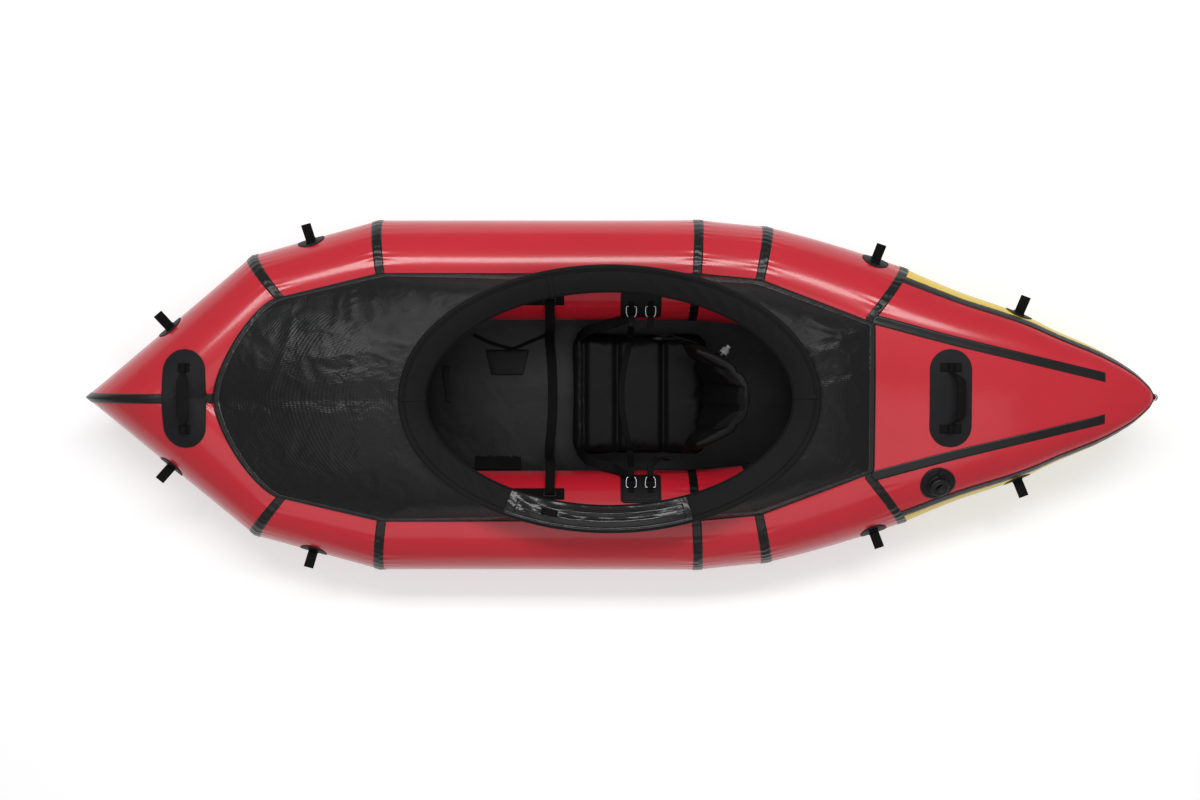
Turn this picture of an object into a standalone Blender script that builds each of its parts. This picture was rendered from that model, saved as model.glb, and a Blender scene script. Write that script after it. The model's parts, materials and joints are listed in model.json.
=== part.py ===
"""Decked single-seat packraft, laid out bow at -X, stern at +X, starboard at +Y, floor at Z = 0.

The air hull is a chain of fabric sleeves between seam rings. Everything else is seated on it.
All sizes are in metres.
"""
from collections import namedtuple
from math import atan2, cos, hypot, pi, radians, sin, sqrt, tan

import bmesh
import bpy
from mathutils import Vector
from mathutils.geometry import interpolate_bezier
from mathutils.bvhtree import BVHTree

# Driving dimensions of the air hull
BEAM = 0.928
TUBE_RADIUS = 0.132
BOW_RUN = 0.308
FRONT_RUN = 0.263
SIDE_RUN = 0.818
REAR_RUN = 0.163
QUARTER_RUN = 0.279
STERN_RUN = 0.740
FRONT_INSET = 0.064
REAR_INSET = 0.016
QUARTER_INSET = 0.113
BOW_LIFT = 0.075
FRONT_LIFT = 0.015
QUARTER_LIFT = 0.012
STERN_LIFT = 0.096
STERN_HALF_HEIGHT = 0.135
STERN_CROWN = 0.010
QUARTER_SKEW = 0.110
QUARTER_REACH = 0.133
QUARTER_SWELL = 0.006
SKIN = 0.0010
SEAM_GAP = 0.0004
FIT = 0.0003
SPLIT_GAP = 0.0007

# Angles of the seam rings to the crossways direction
FRONT_SEAM = radians(39.5)
SIDE_FRONT_SEAM = radians(7.0)
SIDE_REAR_SEAM = radians(3.0)
REAR_SEAM = radians(11.5)
SPLIT_ANGLE = radians(30.0)

# Seam tapes and the floor
TAPE_WIDTH = 0.024
TAPE_THICK = 0.0006
TAPE_GAP = 0.0004
FLOOR_THICK = 0.0010
CREST_TAPE_LENGTH = 0.600

# Deck and coaming
DECK_THICK = 0.0010
DECK_INSET = 0.012
DECK_NOSE_RUN = 0.160
DECK_NOSE_POWER = 1.4
DECK_NOSE_CLEAR = 0.0030
DECK_DOME = 0.012
COAMING_X = -0.0255
COAMING_LENGTH = 1.068
COAMING_WIDTH = 0.680
COAMING_BAND = 0.071
COAMING_HEIGHT = 0.365
COAMING_DROOP = 0.014
COAMING_CLOTH = 0.0012
NECK_INSET = 0.024
NECK_STAND = 0.026
ROD_RADIUS = 0.0036
FERRULE_RADIUS = 0.0050
FERRULE_LENGTH = 0.060
ROD_PLAY = 0.0004

# Seat
SEAT_LENGTH = 0.388
SEAT_WIDTH = 0.352
SEAT_THICK = 0.088
SEAT_FRONT_X = -0.137
SEAT_CROWN = 0.016
SEAT_CHANNEL_DEPTH = 0.014
SEAT_CHANNEL_SHARES = (0.115, 0.345, 0.665)
SEAT_CHANNEL_WIDTH = 0.022
BACK_HEIGHT = 0.226
BACK_WIDTH = 0.300
BACK_TOP_WIDTH = 0.236
BACK_THICK = 0.042
BACK_WRAP = 0.075
BACK_TOP_WRAP = 0.140
BACK_LEAN = 0.100
BACK_SIDE_RISE = 0.085
BACK_EDGE = 0.010
BACK_CHANNELS = 5
BACK_CHANNEL_DEPTH = 0.006
MOUTHPIECE_RADIUS = 0.005
STEM_RADIUS = 0.008
STEM_LENGTH = 0.022
STEM_HOSE = 0.062
STEM_RISE = radians(16.0)

# Fittings
PLATE_THICK = 0.0014
RING_PLATE_LENGTH = 0.106
RING_PLATE_X = 0.057
RING_PLATE_LOW = radians(20.0)
RING_PLATE_HIGH = radians(64.0)
RING_PLATE_CORNER = 0.010
RING_SPACING = 0.050
RING_WIRE = 0.0020
RING_WIDTH = 0.030
RING_DEPTH = 0.030
RING_ANGLE = radians(45.0)
RING_DROP = radians(12.0)
KEEPER_WIDTH = 0.016
KEEPER_CLOTH = 0.0014
KEEPER_PLAY = 0.0005
KEEPER_FOOT = 0.010
ANCHOR_LENGTH = 0.138
ANCHOR_X = -0.211
ANCHOR_LOW = radians(45.0)
ANCHOR_HIGH = radians(60.0)
BUCKLE_X = -0.180
BUCKLE_LENGTH = 0.034
BUCKLE_DEPTH = 0.022
BUCKLE_THICK = 0.0045
BUCKLE_BAR = 0.0040
WEBBING = 0.025
NARROW_WEBBING = 0.016
WEBBING_THICK = 0.0016
HANDLE_PATCH_LENGTH = 0.252
HANDLE_PATCH_WIDTH = 0.107
HANDLE_SPAN = 0.164
HANDLE_RISE = 0.036
HANDLE_GRIP_WIDTH = 0.030
HANDLE_GRIP_THICK = 0.0050
HANDLE_FOOT_RADIUS = 0.0050
BOW_HANDLE_X = -1.1075
STERN_HANDLE_X = 0.8475
BOW_HANDLE_LEAN = radians(10.0)
STERN_HANDLE_LEAN = radians(35.0)
BOW_PATCH_CLEAR = 0.0020
STERN_PATCH_CLEAR = 0.0005
LOOP_REACH = 0.047
LOOP_TAIL = 0.022
LOOP_EYE = 0.0036
LOOP_ROOT = 0.0012
LOOP_ANGLE = radians(20.0)
LOOP_STERN_ANGLE = radians(11.5)
LOOP_BOW_SHARE = 0.50
LOOP_FRONT_SHARE = 0.47
LOOP_QUARTER_SHARE = 0.56
LOOP_STERN_SHARE = 0.10
VALVE_SHARE = 0.74
VALVE_ANGLE = radians(62.5)
VALVE_PATCH_RADIUS = 0.046
VALVE_HOLE_RADIUS = 0.0215
VALVE_NECK_RADIUS = 0.0200
VALVE_THREAD_RADIUS = 0.0180
VALVE_BORE = 0.0150
VALVE_COLLAR_RADIUS = 0.0270
VALVE_COLLAR = 0.0040
VALVE_DEPTH = 0.018
VALVE_STAND = 0.0120
LEASH_THICK = 0.0016
LEASH_RADIUS = 0.0265
LEASH_TAB = 0.016
LEASH_TAB_SIDES = (4, 5)
CAP_RADIUS = 0.0262
CAP_HEIGHT = 0.0130
CAP_ROOF = 0.0030
CAP_RIBS = 12
CAP_RIB_DEPTH = 0.0012

SIDES = 24
VALVE_SIDES = 24
COAMING_STEPS = 40
QUARTER_TURN = pi / 2
TURN_STEPS = 6
ROUND_SIDES = 6
HANDLE_SIDES = 8
STEM_SIDES = 10
PATCH_ROWS = 6
PATCH_COLUMNS = 3
BEND_ANGLES = tuple(radians(angle) for angle in (20, 55, 90, 125, 160))
TABLE_SLOTS = 4
PORT = -1
STARBOARD = 1
SIDE_NAMES = {STARBOARD: "starboard", PORT: "port"}

# Shapes as shares of their own sizes
STERN_INNER_SHARE = 0.83
BRIM_ROOT_SHARE = 1.6
DECK_ROW_SHARES = (0.0, 0.3, 0.65)
HANDLE_FOOT_SHARE = 0.86
HANDLE_ARCH_SHARES = ((0.76, 0.30), (0.66, 0.72), (0.54, 0.95), (0.30, 1.0), (0.0, 1.0))
LOOP_FOLD_SHARES = ((0.45, 0.60), (0.70, 0.80), (0.86, 1.00), (0.97, 0.60))
PATCH_END_SHARE = 0.995
RING_LINE_SHARES = ((0.77, 0.0), (1.0, 0.15), (1.0, 0.66), (0.72, 1.0))
BUCKLE_BAR_SHARES = (-1.0, -0.63, -0.18, 0.18, 0.63, 1.0)
STRAP_TAIL_SHARE = 1.6
STRAP_GRIP_SHARE = 0.7
STRAP_TURN_SHARE = 0.6
WING_STAND_SHARE = 1.75
SEAT_END_SHARES = (0.0, 0.012, 0.04)
SEAT_FLANK_SHARE = 0.7
SEAT_CORNER_POWER = 14
SEAT_CORNER_ROOT = 0.25
SEAT_END_WIDTH_SHARE = 0.72
SEAT_WAIST_SHARE = 0.02
SEAT_END_DROP_SHARE = 0.35
SEAT_DROP_POWER = 10
SEAT_CHANNEL_POWER = 1.5
SEAT_CROWN_POWER = 6
SEAT_SOLE_SHARE = 0.4
SEAT_OUTLINE_SHARES = (
    (-0.92, 0.0, 0.0),
    (-0.975, 0.12, 0.0),
    (-1.0, 0.45, 0.0),
    (-0.985, 0.75, 0.0),
    (-0.92, 0.93, 0.3),
    (-0.78, 1.0, 0.8),
    (-0.5, 1.0, 1.0),
    (-0.2, 1.0, 1.0),
)
BACK_HINGE_SHARE = 0.75
BACK_WRAP_POWER = 2.4
BACK_RISE_POWER = 1.5
BACK_DROP_SHARE = 0.10
BACK_LEVEL_SHARES = (0.0, 0.03, 0.12, 0.3, 0.5, 0.7, 0.88, 0.97, 1.0)
BACK_STEP_SHARE = 0.02
BACK_END_POWER = 6
BACK_SIDE_POWER = 8
BACK_CHANNEL_POWER = 4
STEM_SIDE_SHARE = 0.86
STEM_ALONG_SHARE = 0.78
MOUTHPIECE_WALL_SHARE = 0.35
MOUTHPIECE_TIP_SHARES = ((0.75, 0.4), (0.75, 0.7), (0.30, 0.7))
CAP_DISH_SHARES = (0.62, 0.55)

# Stern stations as shares: run, crest spacing, skew, reach, half height, lift
STERN_SHARES = (
    (0.000, 1.000, 1.000, 1.000, 1.000, 0.00),
    (0.270, 0.737, 0.450, 0.950, 0.978, 0.14),
    (0.527, 0.512, 0.000, 0.910, 0.904, 0.30),
    (0.676, 0.382, 0.000, 0.711, 0.778, 0.46),
    (0.815, 0.260, 0.000, 0.534, 0.622, 0.66),
    (0.920, 0.167, 0.000, 0.301, 0.407, 0.82),
    (0.980, 0.060, 0.000, 0.150, 0.207, 0.95),
    (1.000, 0.015, 0.000, 0.045, 0.060, 1.00),
)

Ring = namedtuple("Ring", "centre out inn up")

# Places worked out from the driving dimensions
TAPE_STACK = TAPE_GAP + TAPE_THICK
TUBE_BOTTOM = FLOOR_THICK + FIT + TAPE_STACK
SIDE_Y = BEAM / 2 - TUBE_RADIUS
FRONT_Y = SIDE_Y - FRONT_INSET
REAR_Y = SIDE_Y - REAR_INSET
QUARTER_Y = REAR_Y - QUARTER_INSET
BOW_HEADING = atan2(FRONT_Y, BOW_RUN)
BOW_REACH = TUBE_RADIUS / sin(BOW_HEADING)
LAP_STACK = TAPE_STACK + TAPE_GAP
NOSE_REACH = BOW_REACH * (1 + LAP_STACK / TUBE_RADIUS)
TIP_REACH = QUARTER_REACH * STERN_SHARES[-1][3] + LAP_STACK
HULL_RUN = BOW_RUN + FRONT_RUN + SIDE_RUN + REAR_RUN + QUARTER_RUN + STERN_RUN
HULL_LENGTH = NOSE_REACH + HULL_RUN + TIP_REACH
BOW_X = NOSE_REACH - HULL_LENGTH / 2
FRONT_X = BOW_X + BOW_RUN
SIDE_FRONT_X = FRONT_X + FRONT_RUN
SIDE_REAR_X = SIDE_FRONT_X + SIDE_RUN
REAR_X = SIDE_REAR_X + REAR_RUN
QUARTER_X = REAR_X + QUARTER_RUN
AXIS_Z = TUBE_BOTTOM + TUBE_RADIUS
STERN_AXIS_Z = TUBE_BOTTOM + STERN_HALF_HEIGHT + QUARTER_LIFT
SLEEVE_BORE = FERRULE_RADIUS + ROD_PLAY
PIPING_RADIUS = SLEEVE_BORE + COAMING_CLOTH

SKIN_QUADS = []


def clear_scene():
    """Removes everything that the file holds, so that the model starts from nothing."""
    for item in list(bpy.data.objects):
        bpy.data.objects.remove(item, do_unlink=True)


def material(name, colour, roughness, metallic=0.0):
    """Makes one Principled material."""
    made = bpy.data.materials.new(name)
    made.use_nodes = True
    shader = made.node_tree.nodes["Principled BSDF"]
    shader.inputs["Base Color"].default_value = (*colour, 1.0)
    shader.inputs["Roughness"].default_value = roughness
    shader.inputs["Metallic"].default_value = metallic
    made.diffuse_color = (*colour, 1.0)
    return made


def place(name, mesh_builder, finish, origin=(0.0, 0.0, 0.0), smooth=True):
    """Turns a bmesh into a named object whose origin lies at the given place."""
    bmesh.ops.recalc_face_normals(mesh_builder, faces=mesh_builder.faces)
    origin = Vector(origin)
    bmesh.ops.translate(mesh_builder, vec=-origin, verts=mesh_builder.verts)
    mesh = bpy.data.meshes.new(name)
    mesh_builder.to_mesh(mesh)
    mesh_builder.free()
    if smooth:
        mesh.shade_smooth()
        mesh.set_sharp_from_angle(angle=radians(35.0))
    mesh.materials.append(finish)
    thing = bpy.data.objects.new(name, mesh)
    thing.location = origin
    bpy.context.scene.collection.objects.link(thing)
    return thing


def mirror_rows(rows, side):
    """Mirrors rows of points to port where the side asks for it."""
    return [[Vector((p.x, p.y * side, p.z)) for p in row] for row in rows]


def sweep(bm, rows, closed):
    """Draws the first row and extrudes its edges from row to row."""
    line = [bm.verts.new(point) for point in rows[0]]
    ends = line[1:] + line[:1] if closed else line[1:]
    edges = [bm.edges.new(pair) for pair in zip(line, ends)]
    lines = [line]
    for row in rows[1:]:
        made = bmesh.ops.extrude_edge_only(bm, edges=edges)["geom"]
        fresh = {item for item in made if isinstance(item, bmesh.types.BMVert)}
        edges = [e for e in made if isinstance(e, bmesh.types.BMEdge) and fresh.issuperset(e.verts)]
        line = [next(e.other_vert(v) for e in v.link_edges if e.other_vert(v) in fresh) for v in line]
        for vert, point in zip(line, row):
            vert.co = point
        lines.append(line)
    return lines


def join_lines(bm, first, last, closed):
    """Closes a sweep by faces between its last line and its first."""
    count = len(first) if closed else len(first) - 1
    for i in range(count):
        j = (i + 1) % len(first)
        bm.faces.new((last[i], last[j], first[j], first[i]))


def split_cells(lines, back, closed):
    """Splits each cell of a sheet along the same diagonal on both faces, so that they can't cross."""
    for k in range(len(lines) // 2 - 1):
        count = len(lines[k]) if closed else len(lines[k]) - 1
        for i in range(count):
            j = (i + 1) % len(lines[k])
            falling = (lines[k][i].co - lines[k + 1][j].co).length
            rising = (lines[k][j].co - lines[k + 1][i].co).length
            first, second = (i, j) if falling < rising else (j, i)
            for table in (lines, back):
                ends = (table[k][first], table[k + 1][second])
                shared = set(ends[0].link_faces) & set(ends[1].link_faces)
                bmesh.utils.face_split(shared.pop(), *ends)


def thin_solid(rows_a, rows_b, closed=False):
    """Makes one closed solid between two like grids of points, such as the faces of a sheet."""
    bm = bmesh.new()
    lines = sweep(bm, rows_a + rows_b[::-1], closed)
    back = lines[::-1]
    join_lines(bm, lines[0], lines[-1], closed)
    split_cells(lines, back, closed)
    if not closed:
        for i in range(len(rows_a) - 1):
            for end in (0, -1):
                bm.faces.new((lines[i][end], lines[i + 1][end], back[i + 1][end], back[i][end]))
    return bm


def capped_sweep(rows):
    """Makes one closed solid from closed rows, with a face on each end."""
    bm = bmesh.new()
    lines = sweep(bm, rows, True)
    bm.faces.new(lines[0])
    bm.faces.new(lines[-1])
    return bm


def mix(a, b, share):
    """Gives the ring at a share of the way from one ring to another."""
    return Ring(*(first + (last - first) * share for first, last in zip(a, b)))


def toward(a, b, distance):
    """Gives the ring at a distance along the way from one ring to another."""
    return mix(a, b, distance / (b.centre - a.centre).length)


def ring_point(ring, angle, offset=0.0):
    """Gives a ring's point at an angle above the outer side, moved out by an offset."""
    factor = 1 + offset / ring.up
    lateral = ring.out if cos(angle) > 0 else ring.inn
    return ring.centre + (lateral * cos(angle) + Vector((0, 0, ring.up * sin(angle)))) * factor


def ring_row(ring, offset=0.0):
    """Gives the points round a whole seam ring."""
    return [ring_point(ring, 2 * pi * i / SIDES, offset) for i in range(SIDES)]


def seam(x, y, z, angle, radius=TUBE_RADIUS):
    """Makes a round tube's seam ring, turned from the crossways direction by an angle."""
    lateral = Vector((sin(angle), cos(angle), 0)) * radius
    return Ring(Vector((x, y, z)), lateral, lateral, radius)


def hull_rings():
    """Gives the starboard seam rings, from the bow's centre plane to the stern joint."""
    middle = Vector((-BOW_REACH, 0, 0))
    bow = Ring(Vector((BOW_X, 0, AXIS_Z + BOW_LIFT)), middle, middle, TUBE_RADIUS)
    front = seam(FRONT_X, FRONT_Y, AXIS_Z + FRONT_LIFT, -FRONT_SEAM)
    side_front = seam(SIDE_FRONT_X, SIDE_Y, AXIS_Z, -SIDE_FRONT_SEAM)
    side_rear = seam(SIDE_REAR_X, SIDE_Y, AXIS_Z, SIDE_REAR_SEAM)
    rear = seam(REAR_X, REAR_Y, AXIS_Z, REAR_SEAM)
    return [bow, front, side_front, side_rear, rear, stern_ring(0)]


def stern_ring(index):
    """Gives the starboard lobe's ring at a stern station."""
    run, crest, skew, reach, height, lift = STERN_SHARES[index]
    centre = Vector((QUARTER_X + STERN_RUN * run, QUARTER_Y * crest, STERN_AXIS_Z + STERN_LIFT * lift))
    out = Vector((QUARTER_SKEW * skew, QUARTER_REACH * reach, 0))
    inn = Vector((0, min(centre.y, QUARTER_REACH * reach) * STERN_INNER_SHARE, 0))
    return Ring(centre, out, inn, STERN_HALF_HEIGHT * height)


def lobe_angles(low, high):
    """Gives the facet angles from low to high, with both ends."""
    step = 2 * pi / SIDES
    inner = [i * step for i in range(-SIDES, SIDES) if low + step / 4 < i * step < high - step / 4]
    return [low, *inner, high]


def panel_row(ring, level, crown):
    """Gives the middle panel's points between the crest lines, from starboard to port."""
    half = ring.centre.y
    points = []
    for i in range(1, TABLE_SLOTS):
        share = 1 - 2 * i / TABLE_SLOTS
        points.append(Vector((ring.centre.x, half * share, level + crown * (1 - share * share))))
    return points


def stern_rows(upper, offset):
    """Gives the stern's rows for the red upper skin or the yellow lower skin."""
    rows = []
    for index in range(len(STERN_SHARES)):
        ring = stern_ring(index)
        side = 1 if upper else -1
        high = lobe_angles(SPLIT_ANGLE, QUARTER_TURN)
        if not upper:
            high = lobe_angles(-QUARTER_TURN, SPLIT_ANGLE)[::-1]
        lobe = [ring_point(ring, angle, offset) for angle in high]
        if not upper:
            lobe[0].z -= SPLIT_GAP
        crown = STERN_CROWN * STERN_SHARES[index][1] if upper else 0.0
        panel = panel_row(ring, ring.centre.z + side * (ring.up + offset), crown)
        port = [Vector((p.x, -p.y, p.z)) for p in reversed(lobe)]
        rows.append(lobe + panel + port)
    return rows


def note_skin(rows, closed):
    """Keeps a skin's outer quads for seating other pieces on them."""
    for first, second in zip(rows, rows[1:]):
        count = len(first) if closed else len(first) - 1
        for i in range(count):
            j = (i + 1) % len(first)
            SKIN_QUADS.append((first[i], first[j], second[j], second[i]))


def hull_tree():
    """Builds the search tree of the hull's outer skin."""
    points = [point for quad in SKIN_QUADS for point in quad]
    faces = [tuple(range(i, i + 4)) for i in range(0, len(points), 4)]
    return BVHTree.FromPolygons(points, faces)


def surface(tree, point, out):
    """Gives the place on a skin straight below a point, seen along an outward direction."""
    beside = point.copy()
    if abs(beside.y) < SEAM_GAP:
        beside.y = SEAM_GAP
    return tree.ray_cast(beside + out * BEAM, -out)[0]


def drop(tree, x, y):
    """Gives the height of the hull's top at a place."""
    return surface(tree, Vector((x, y, 0)), Vector((0, 0, 1))).z


def sleeve(name, rings, side, finish):
    """Makes one hollow fabric sleeve through its seam rings, open at both mouths."""
    first = toward(rings[0], rings[1], SEAM_GAP / 2)
    last = toward(rings[-1], rings[-2], SEAM_GAP / 2)
    inside = [first, *rings[1:-1], last]
    outer = mirror_rows([ring_row(ring) for ring in inside], side)
    inner = mirror_rows([ring_row(ring, -SKIN) for ring in inside], side)
    note_skin(outer, True)
    return place(name, thin_solid(outer, inner, True), finish)


def quarter_swell(rear, quarter):
    """Gives the ring between the rear bend and the stern joint, swollen a little."""
    ring = mix(rear, quarter, 0.5)
    return Ring(ring.centre + ring.out.normalized() * QUARTER_SWELL, ring.out, ring.inn, ring.up)


def make_hull(finishes):
    """Makes the air hull's skins, and gives the stern's upper one."""
    skins = []
    bow, front, side_front, side_rear, rear, quarter = hull_rings()
    for side, word in SIDE_NAMES.items():
        sleeve("bow_tube_" + word, [bow, front], side, finishes["red"])
        sleeve("front_tube_" + word, [front, side_front], side, finishes["red"])
        sleeve("side_tube_" + word, [side_front, side_rear], side, finishes["red"])
        swell = quarter_swell(rear, quarter)
        sleeve("quarter_tube_" + word, [side_rear, rear, swell, quarter], side, finishes["red"])
    for upper, name, finish in ((True, "stern_upper_skin", "red"), (False, "stern_lower_skin", "yellow")):
        outer = stern_rows(upper, 0.0)
        inner = stern_rows(upper, -SKIN)
        note_skin(outer, False)
        skins.append(place(name, thin_solid(outer, inner), finishes[finish]))
    make_bulkhead(finishes["black"])
    return skins[0]


def make_bulkhead(finish):
    """Makes the wall between the tubes at the stern joint, seen behind the seat."""
    ring = stern_ring(0)
    facet = 2 * pi / SIDES
    clear = SKIN + FIT
    x = ring.centre.x - SEAM_GAP - clear
    face = []
    for i in range(1, SIDES // 2):
        point = ring_point(ring, QUARTER_TURN + i * facet, FIT)
        level = min(max(point.z, ring.centre.z - ring.up + clear), ring.centre.z + ring.up - clear)
        face.append(Vector((x, point.y, level)))
    rows = []
    for i in range(2 * TABLE_SLOTS + 1):
        share = 1 - i / TABLE_SLOTS
        rows.append([Vector((p.x, p.y * share, p.z)) for p in face])
    behind = [[p + Vector((SKIN, 0, 0)) for p in row] for row in rows]
    return place("stern_bulkhead", thin_solid(rows, behind), finish)


def ring_tape(name, rings, side, finish):
    """Makes the tape that laps a seam ring, half on each sleeve."""
    before, middle, after = rings
    laps = [toward(middle, before, TAPE_WIDTH / 2), middle, toward(middle, after, TAPE_WIDTH / 2)]
    low = mirror_rows([ring_row(ring, TAPE_GAP) for ring in laps], side)
    high = mirror_rows([ring_row(ring, TAPE_STACK) for ring in laps], side)
    return place(name, thin_solid(high, low, True), finish)


def joint_tape(name, rings, side, finish):
    """Makes the tape over the outer half of the stern joint, from crest to bottom."""
    before, middle, after = rings
    laps = [toward(middle, before, TAPE_WIDTH / 2), middle, toward(middle, after, TAPE_WIDTH / 2)]
    angles = lobe_angles(-QUARTER_TURN, QUARTER_TURN)
    low = mirror_rows([[ring_point(r, a, TAPE_GAP) for a in angles] for r in laps], side)
    high = mirror_rows([[ring_point(r, a, TAPE_STACK) for a in angles] for r in laps], side)
    return place(name, thin_solid(high, low), finish)


def centre_tape(rings, finish):
    """Makes the bow's centre tape, from the deck's nose over the tip and under the bow."""
    bow, front = rings
    facet = 2 * pi / SIDES
    angles = lobe_angles(facet - QUARTER_TURN, QUARTER_TURN + 2 * facet)
    rows = {}
    for offset in (TAPE_GAP * 2, LAP_STACK):
        grid = []
        for angle in angles:
            root = ring_point(bow, angle, offset)
            far = ring_point(front, angle, offset)
            lap = root + (far - root) * (TAPE_WIDTH / 2) / (far.y - root.y)
            grid.append([lap, root, Vector((lap.x, -lap.y, lap.z))])
        rows[offset] = grid
    low, high = rows.values()
    return place("bow_centre_tape", thin_solid(high, low), finish)


def crest_tape(name, side, finish):
    """Makes the straight tape along one of the stern's crest lines."""
    start = (TAPE_WIDTH / 2 + DECK_INSET) / STERN_RUN
    end = CREST_TAPE_LENGTH / STERN_RUN
    shares = [start, *(s[0] for s in STERN_SHARES if start < s[0] < end), end]
    low, high = [], []
    for share in shares:
        ring = stern_at(share)
        half = TAPE_WIDTH / 2
        for rows, offset in ((low, TAPE_GAP), (high, TAPE_STACK)):
            top = ring.centre + Vector((0, 0, ring.up + offset))
            slope = ring.up * (1 - cos(2 * pi / SIDES)) / (ring.out.y * sin(2 * pi / SIDES))
            crown = STERN_CROWN * ring.centre.y / QUARTER_Y
            rise = crown * (1 - (1 - 2 / TABLE_SLOTS) ** 2) / (ring.centre.y * 2 / TABLE_SLOTS)
            outer = top + Vector((0, half, -half * slope))
            inner = top + Vector((0, -half, half * rise))
            rows.append([outer, top, inner])
    return place(name, thin_solid(mirror_rows(high, side), mirror_rows(low, side)), finish)


def stern_at(share):
    """Gives the lobe's ring at a share of the stern's run."""
    runs = [entry[0] for entry in STERN_SHARES]
    index = max(i for i, run in enumerate(runs[:-1]) if run <= share)
    span = runs[index + 1] - runs[index]
    return mix(stern_ring(index), stern_ring(index + 1), (share - runs[index]) / span)


def edge_tape(finish):
    """Makes the tape over the joint of the red and yellow skins, round the tip in one piece."""
    start = TAPE_WIDTH / STERN_RUN
    shares = [start, *(entry[0] for entry in STERN_SHARES[1:-1])]
    grids = []
    for offset in (TAPE_GAP, TAPE_STACK):
        rows = []
        for share in shares:
            ring = stern_at(share)
            spread = min(TAPE_WIDTH / 2 / ring.up, SPLIT_ANGLE)
            angles = [SPLIT_ANGLE + spread, SPLIT_ANGLE, SPLIT_ANGLE - spread]
            rows.append([ring_point(ring, angle, offset + TAPE_GAP) for angle in angles])
        tip = stern_ring(-1)
        reach = Vector((tip.out.y + offset + TAPE_GAP, 0, 0))
        levels = (tip.up, tip.up / 2, 0.0)
        nose = [tip.centre.copy() + reach + Vector((0, -tip.centre.y, level)) for level in levels]
        port = [[Vector((p.x, -p.y, p.z)) for p in row] for row in reversed(rows)]
        grids.append(rows + [nose] + port)
    return place("stern_edge_tape", thin_solid(grids[1], grids[0]), finish)


def make_tapes(finish):
    """Makes all seam tapes."""
    rings = hull_rings()
    for side, word in SIDE_NAMES.items():
        ring_tape("front_seam_tape_" + word, (rings[0], rings[1], rings[2]), side, finish)
        ring_tape("side_front_tape_" + word, (rings[1], rings[2], rings[3]), side, finish)
        ring_tape("side_rear_tape_" + word, (rings[2], rings[3], rings[4]), side, finish)
        swell = quarter_swell(rings[4], rings[5])
        joint_tape("stern_joint_tape_" + word, (swell, rings[5], stern_ring(1)), side, finish)
        crest_tape("stern_crest_tape_" + word, side, finish)
    centre_tape(rings[:2], finish)
    edge_tape(finish)


def make_floor(finish):
    """Makes the floor sheet, welded under the tubes' lowest lines."""
    lows = [ring.centre - Vector((0, 0, ring.up + TAPE_STACK + FIT)) for ring in hull_rings()]
    lows[0].y = TAPE_WIDTH / 4
    lows[-1].x -= TAPE_WIDTH
    top = [[p.copy(), Vector((p.x, 0, p.z)), Vector((p.x, -p.y, p.z))] for p in lows]
    bottom = [[p - Vector((0, 0, FLOOR_THICK)) for p in row] for row in top]
    return place("floor_sheet", thin_solid(top, bottom), finish)


def oval(length, width, angle, height=0.0):
    """Gives a point of the coaming's oval."""
    return Vector((COAMING_X + length / 2 * cos(angle), width / 2 * sin(angle), height))


def deck_outline(tree):
    """Gives the deck's edge on the hull, from the port rear corner round the nose to starboard."""
    rings = hull_rings()[:0:-1]
    points = []
    for index, ring in enumerate(rings[:-1]):
        after = rings[index + 1]
        steps = max(1, round((after.centre - ring.centre).length / (FRONT_RUN / 2)))
        for i in range(steps):
            point = mix(ring, after, i / steps)
            level = point.up - DECK_INSET * tan(pi / SIDES) + TAPE_STACK + FIT
            points.append(point.centre + Vector((0, -DECK_INSET, level)))
    points[0].x += DECK_INSET
    points[0].z = drop(tree, points[0].x, points[0].y) + TAPE_STACK + FIT
    front = rings[-1].centre
    half = front.y - DECK_INSET
    for i in range(TABLE_SLOTS * 2):
        angle = QUARTER_TURN * i / (TABLE_SLOTS * 2)
        x = front.x - DECK_NOSE_RUN * sin(angle) ** (2 / DECK_NOSE_POWER)
        y = half * cos(angle) ** (2 / DECK_NOSE_POWER)
        points.append(Vector((x, y, drop(tree, x, y) + DECK_NOSE_CLEAR)))
    nose = front.x - DECK_NOSE_RUN
    tip = Vector((nose, 0, drop(tree, nose, 0) + DECK_NOSE_CLEAR))
    starboard = points
    port = [Vector((p.x, -p.y, p.z)) for p in reversed(points)]
    rear = []
    for i in range(1, TABLE_SLOTS):
        y = -points[0].y + 2 * points[0].y * i / TABLE_SLOTS
        rear.append(Vector((points[0].x, y, drop(tree, points[0].x, y) + TAPE_STACK + FIT)))
    return starboard + [tip] + port + rear


def thicken(rows, thick):
    """Gives the upper face of a sheet whose lower face is a grid of rings, from the outermost in."""
    above = []
    last = len(rows) - 1
    for i, row in enumerate(rows):
        face = []
        for j, point in enumerate(row):
            along = row[(j + 1) % len(row)] - row[j - 1]
            inward = rows[min(i + 1, last)][j] - rows[max(i - 1, 0)][j]
            face.append(point + along.cross(inward).normalized() * thick)
        above.append(face)
    return above


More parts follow.
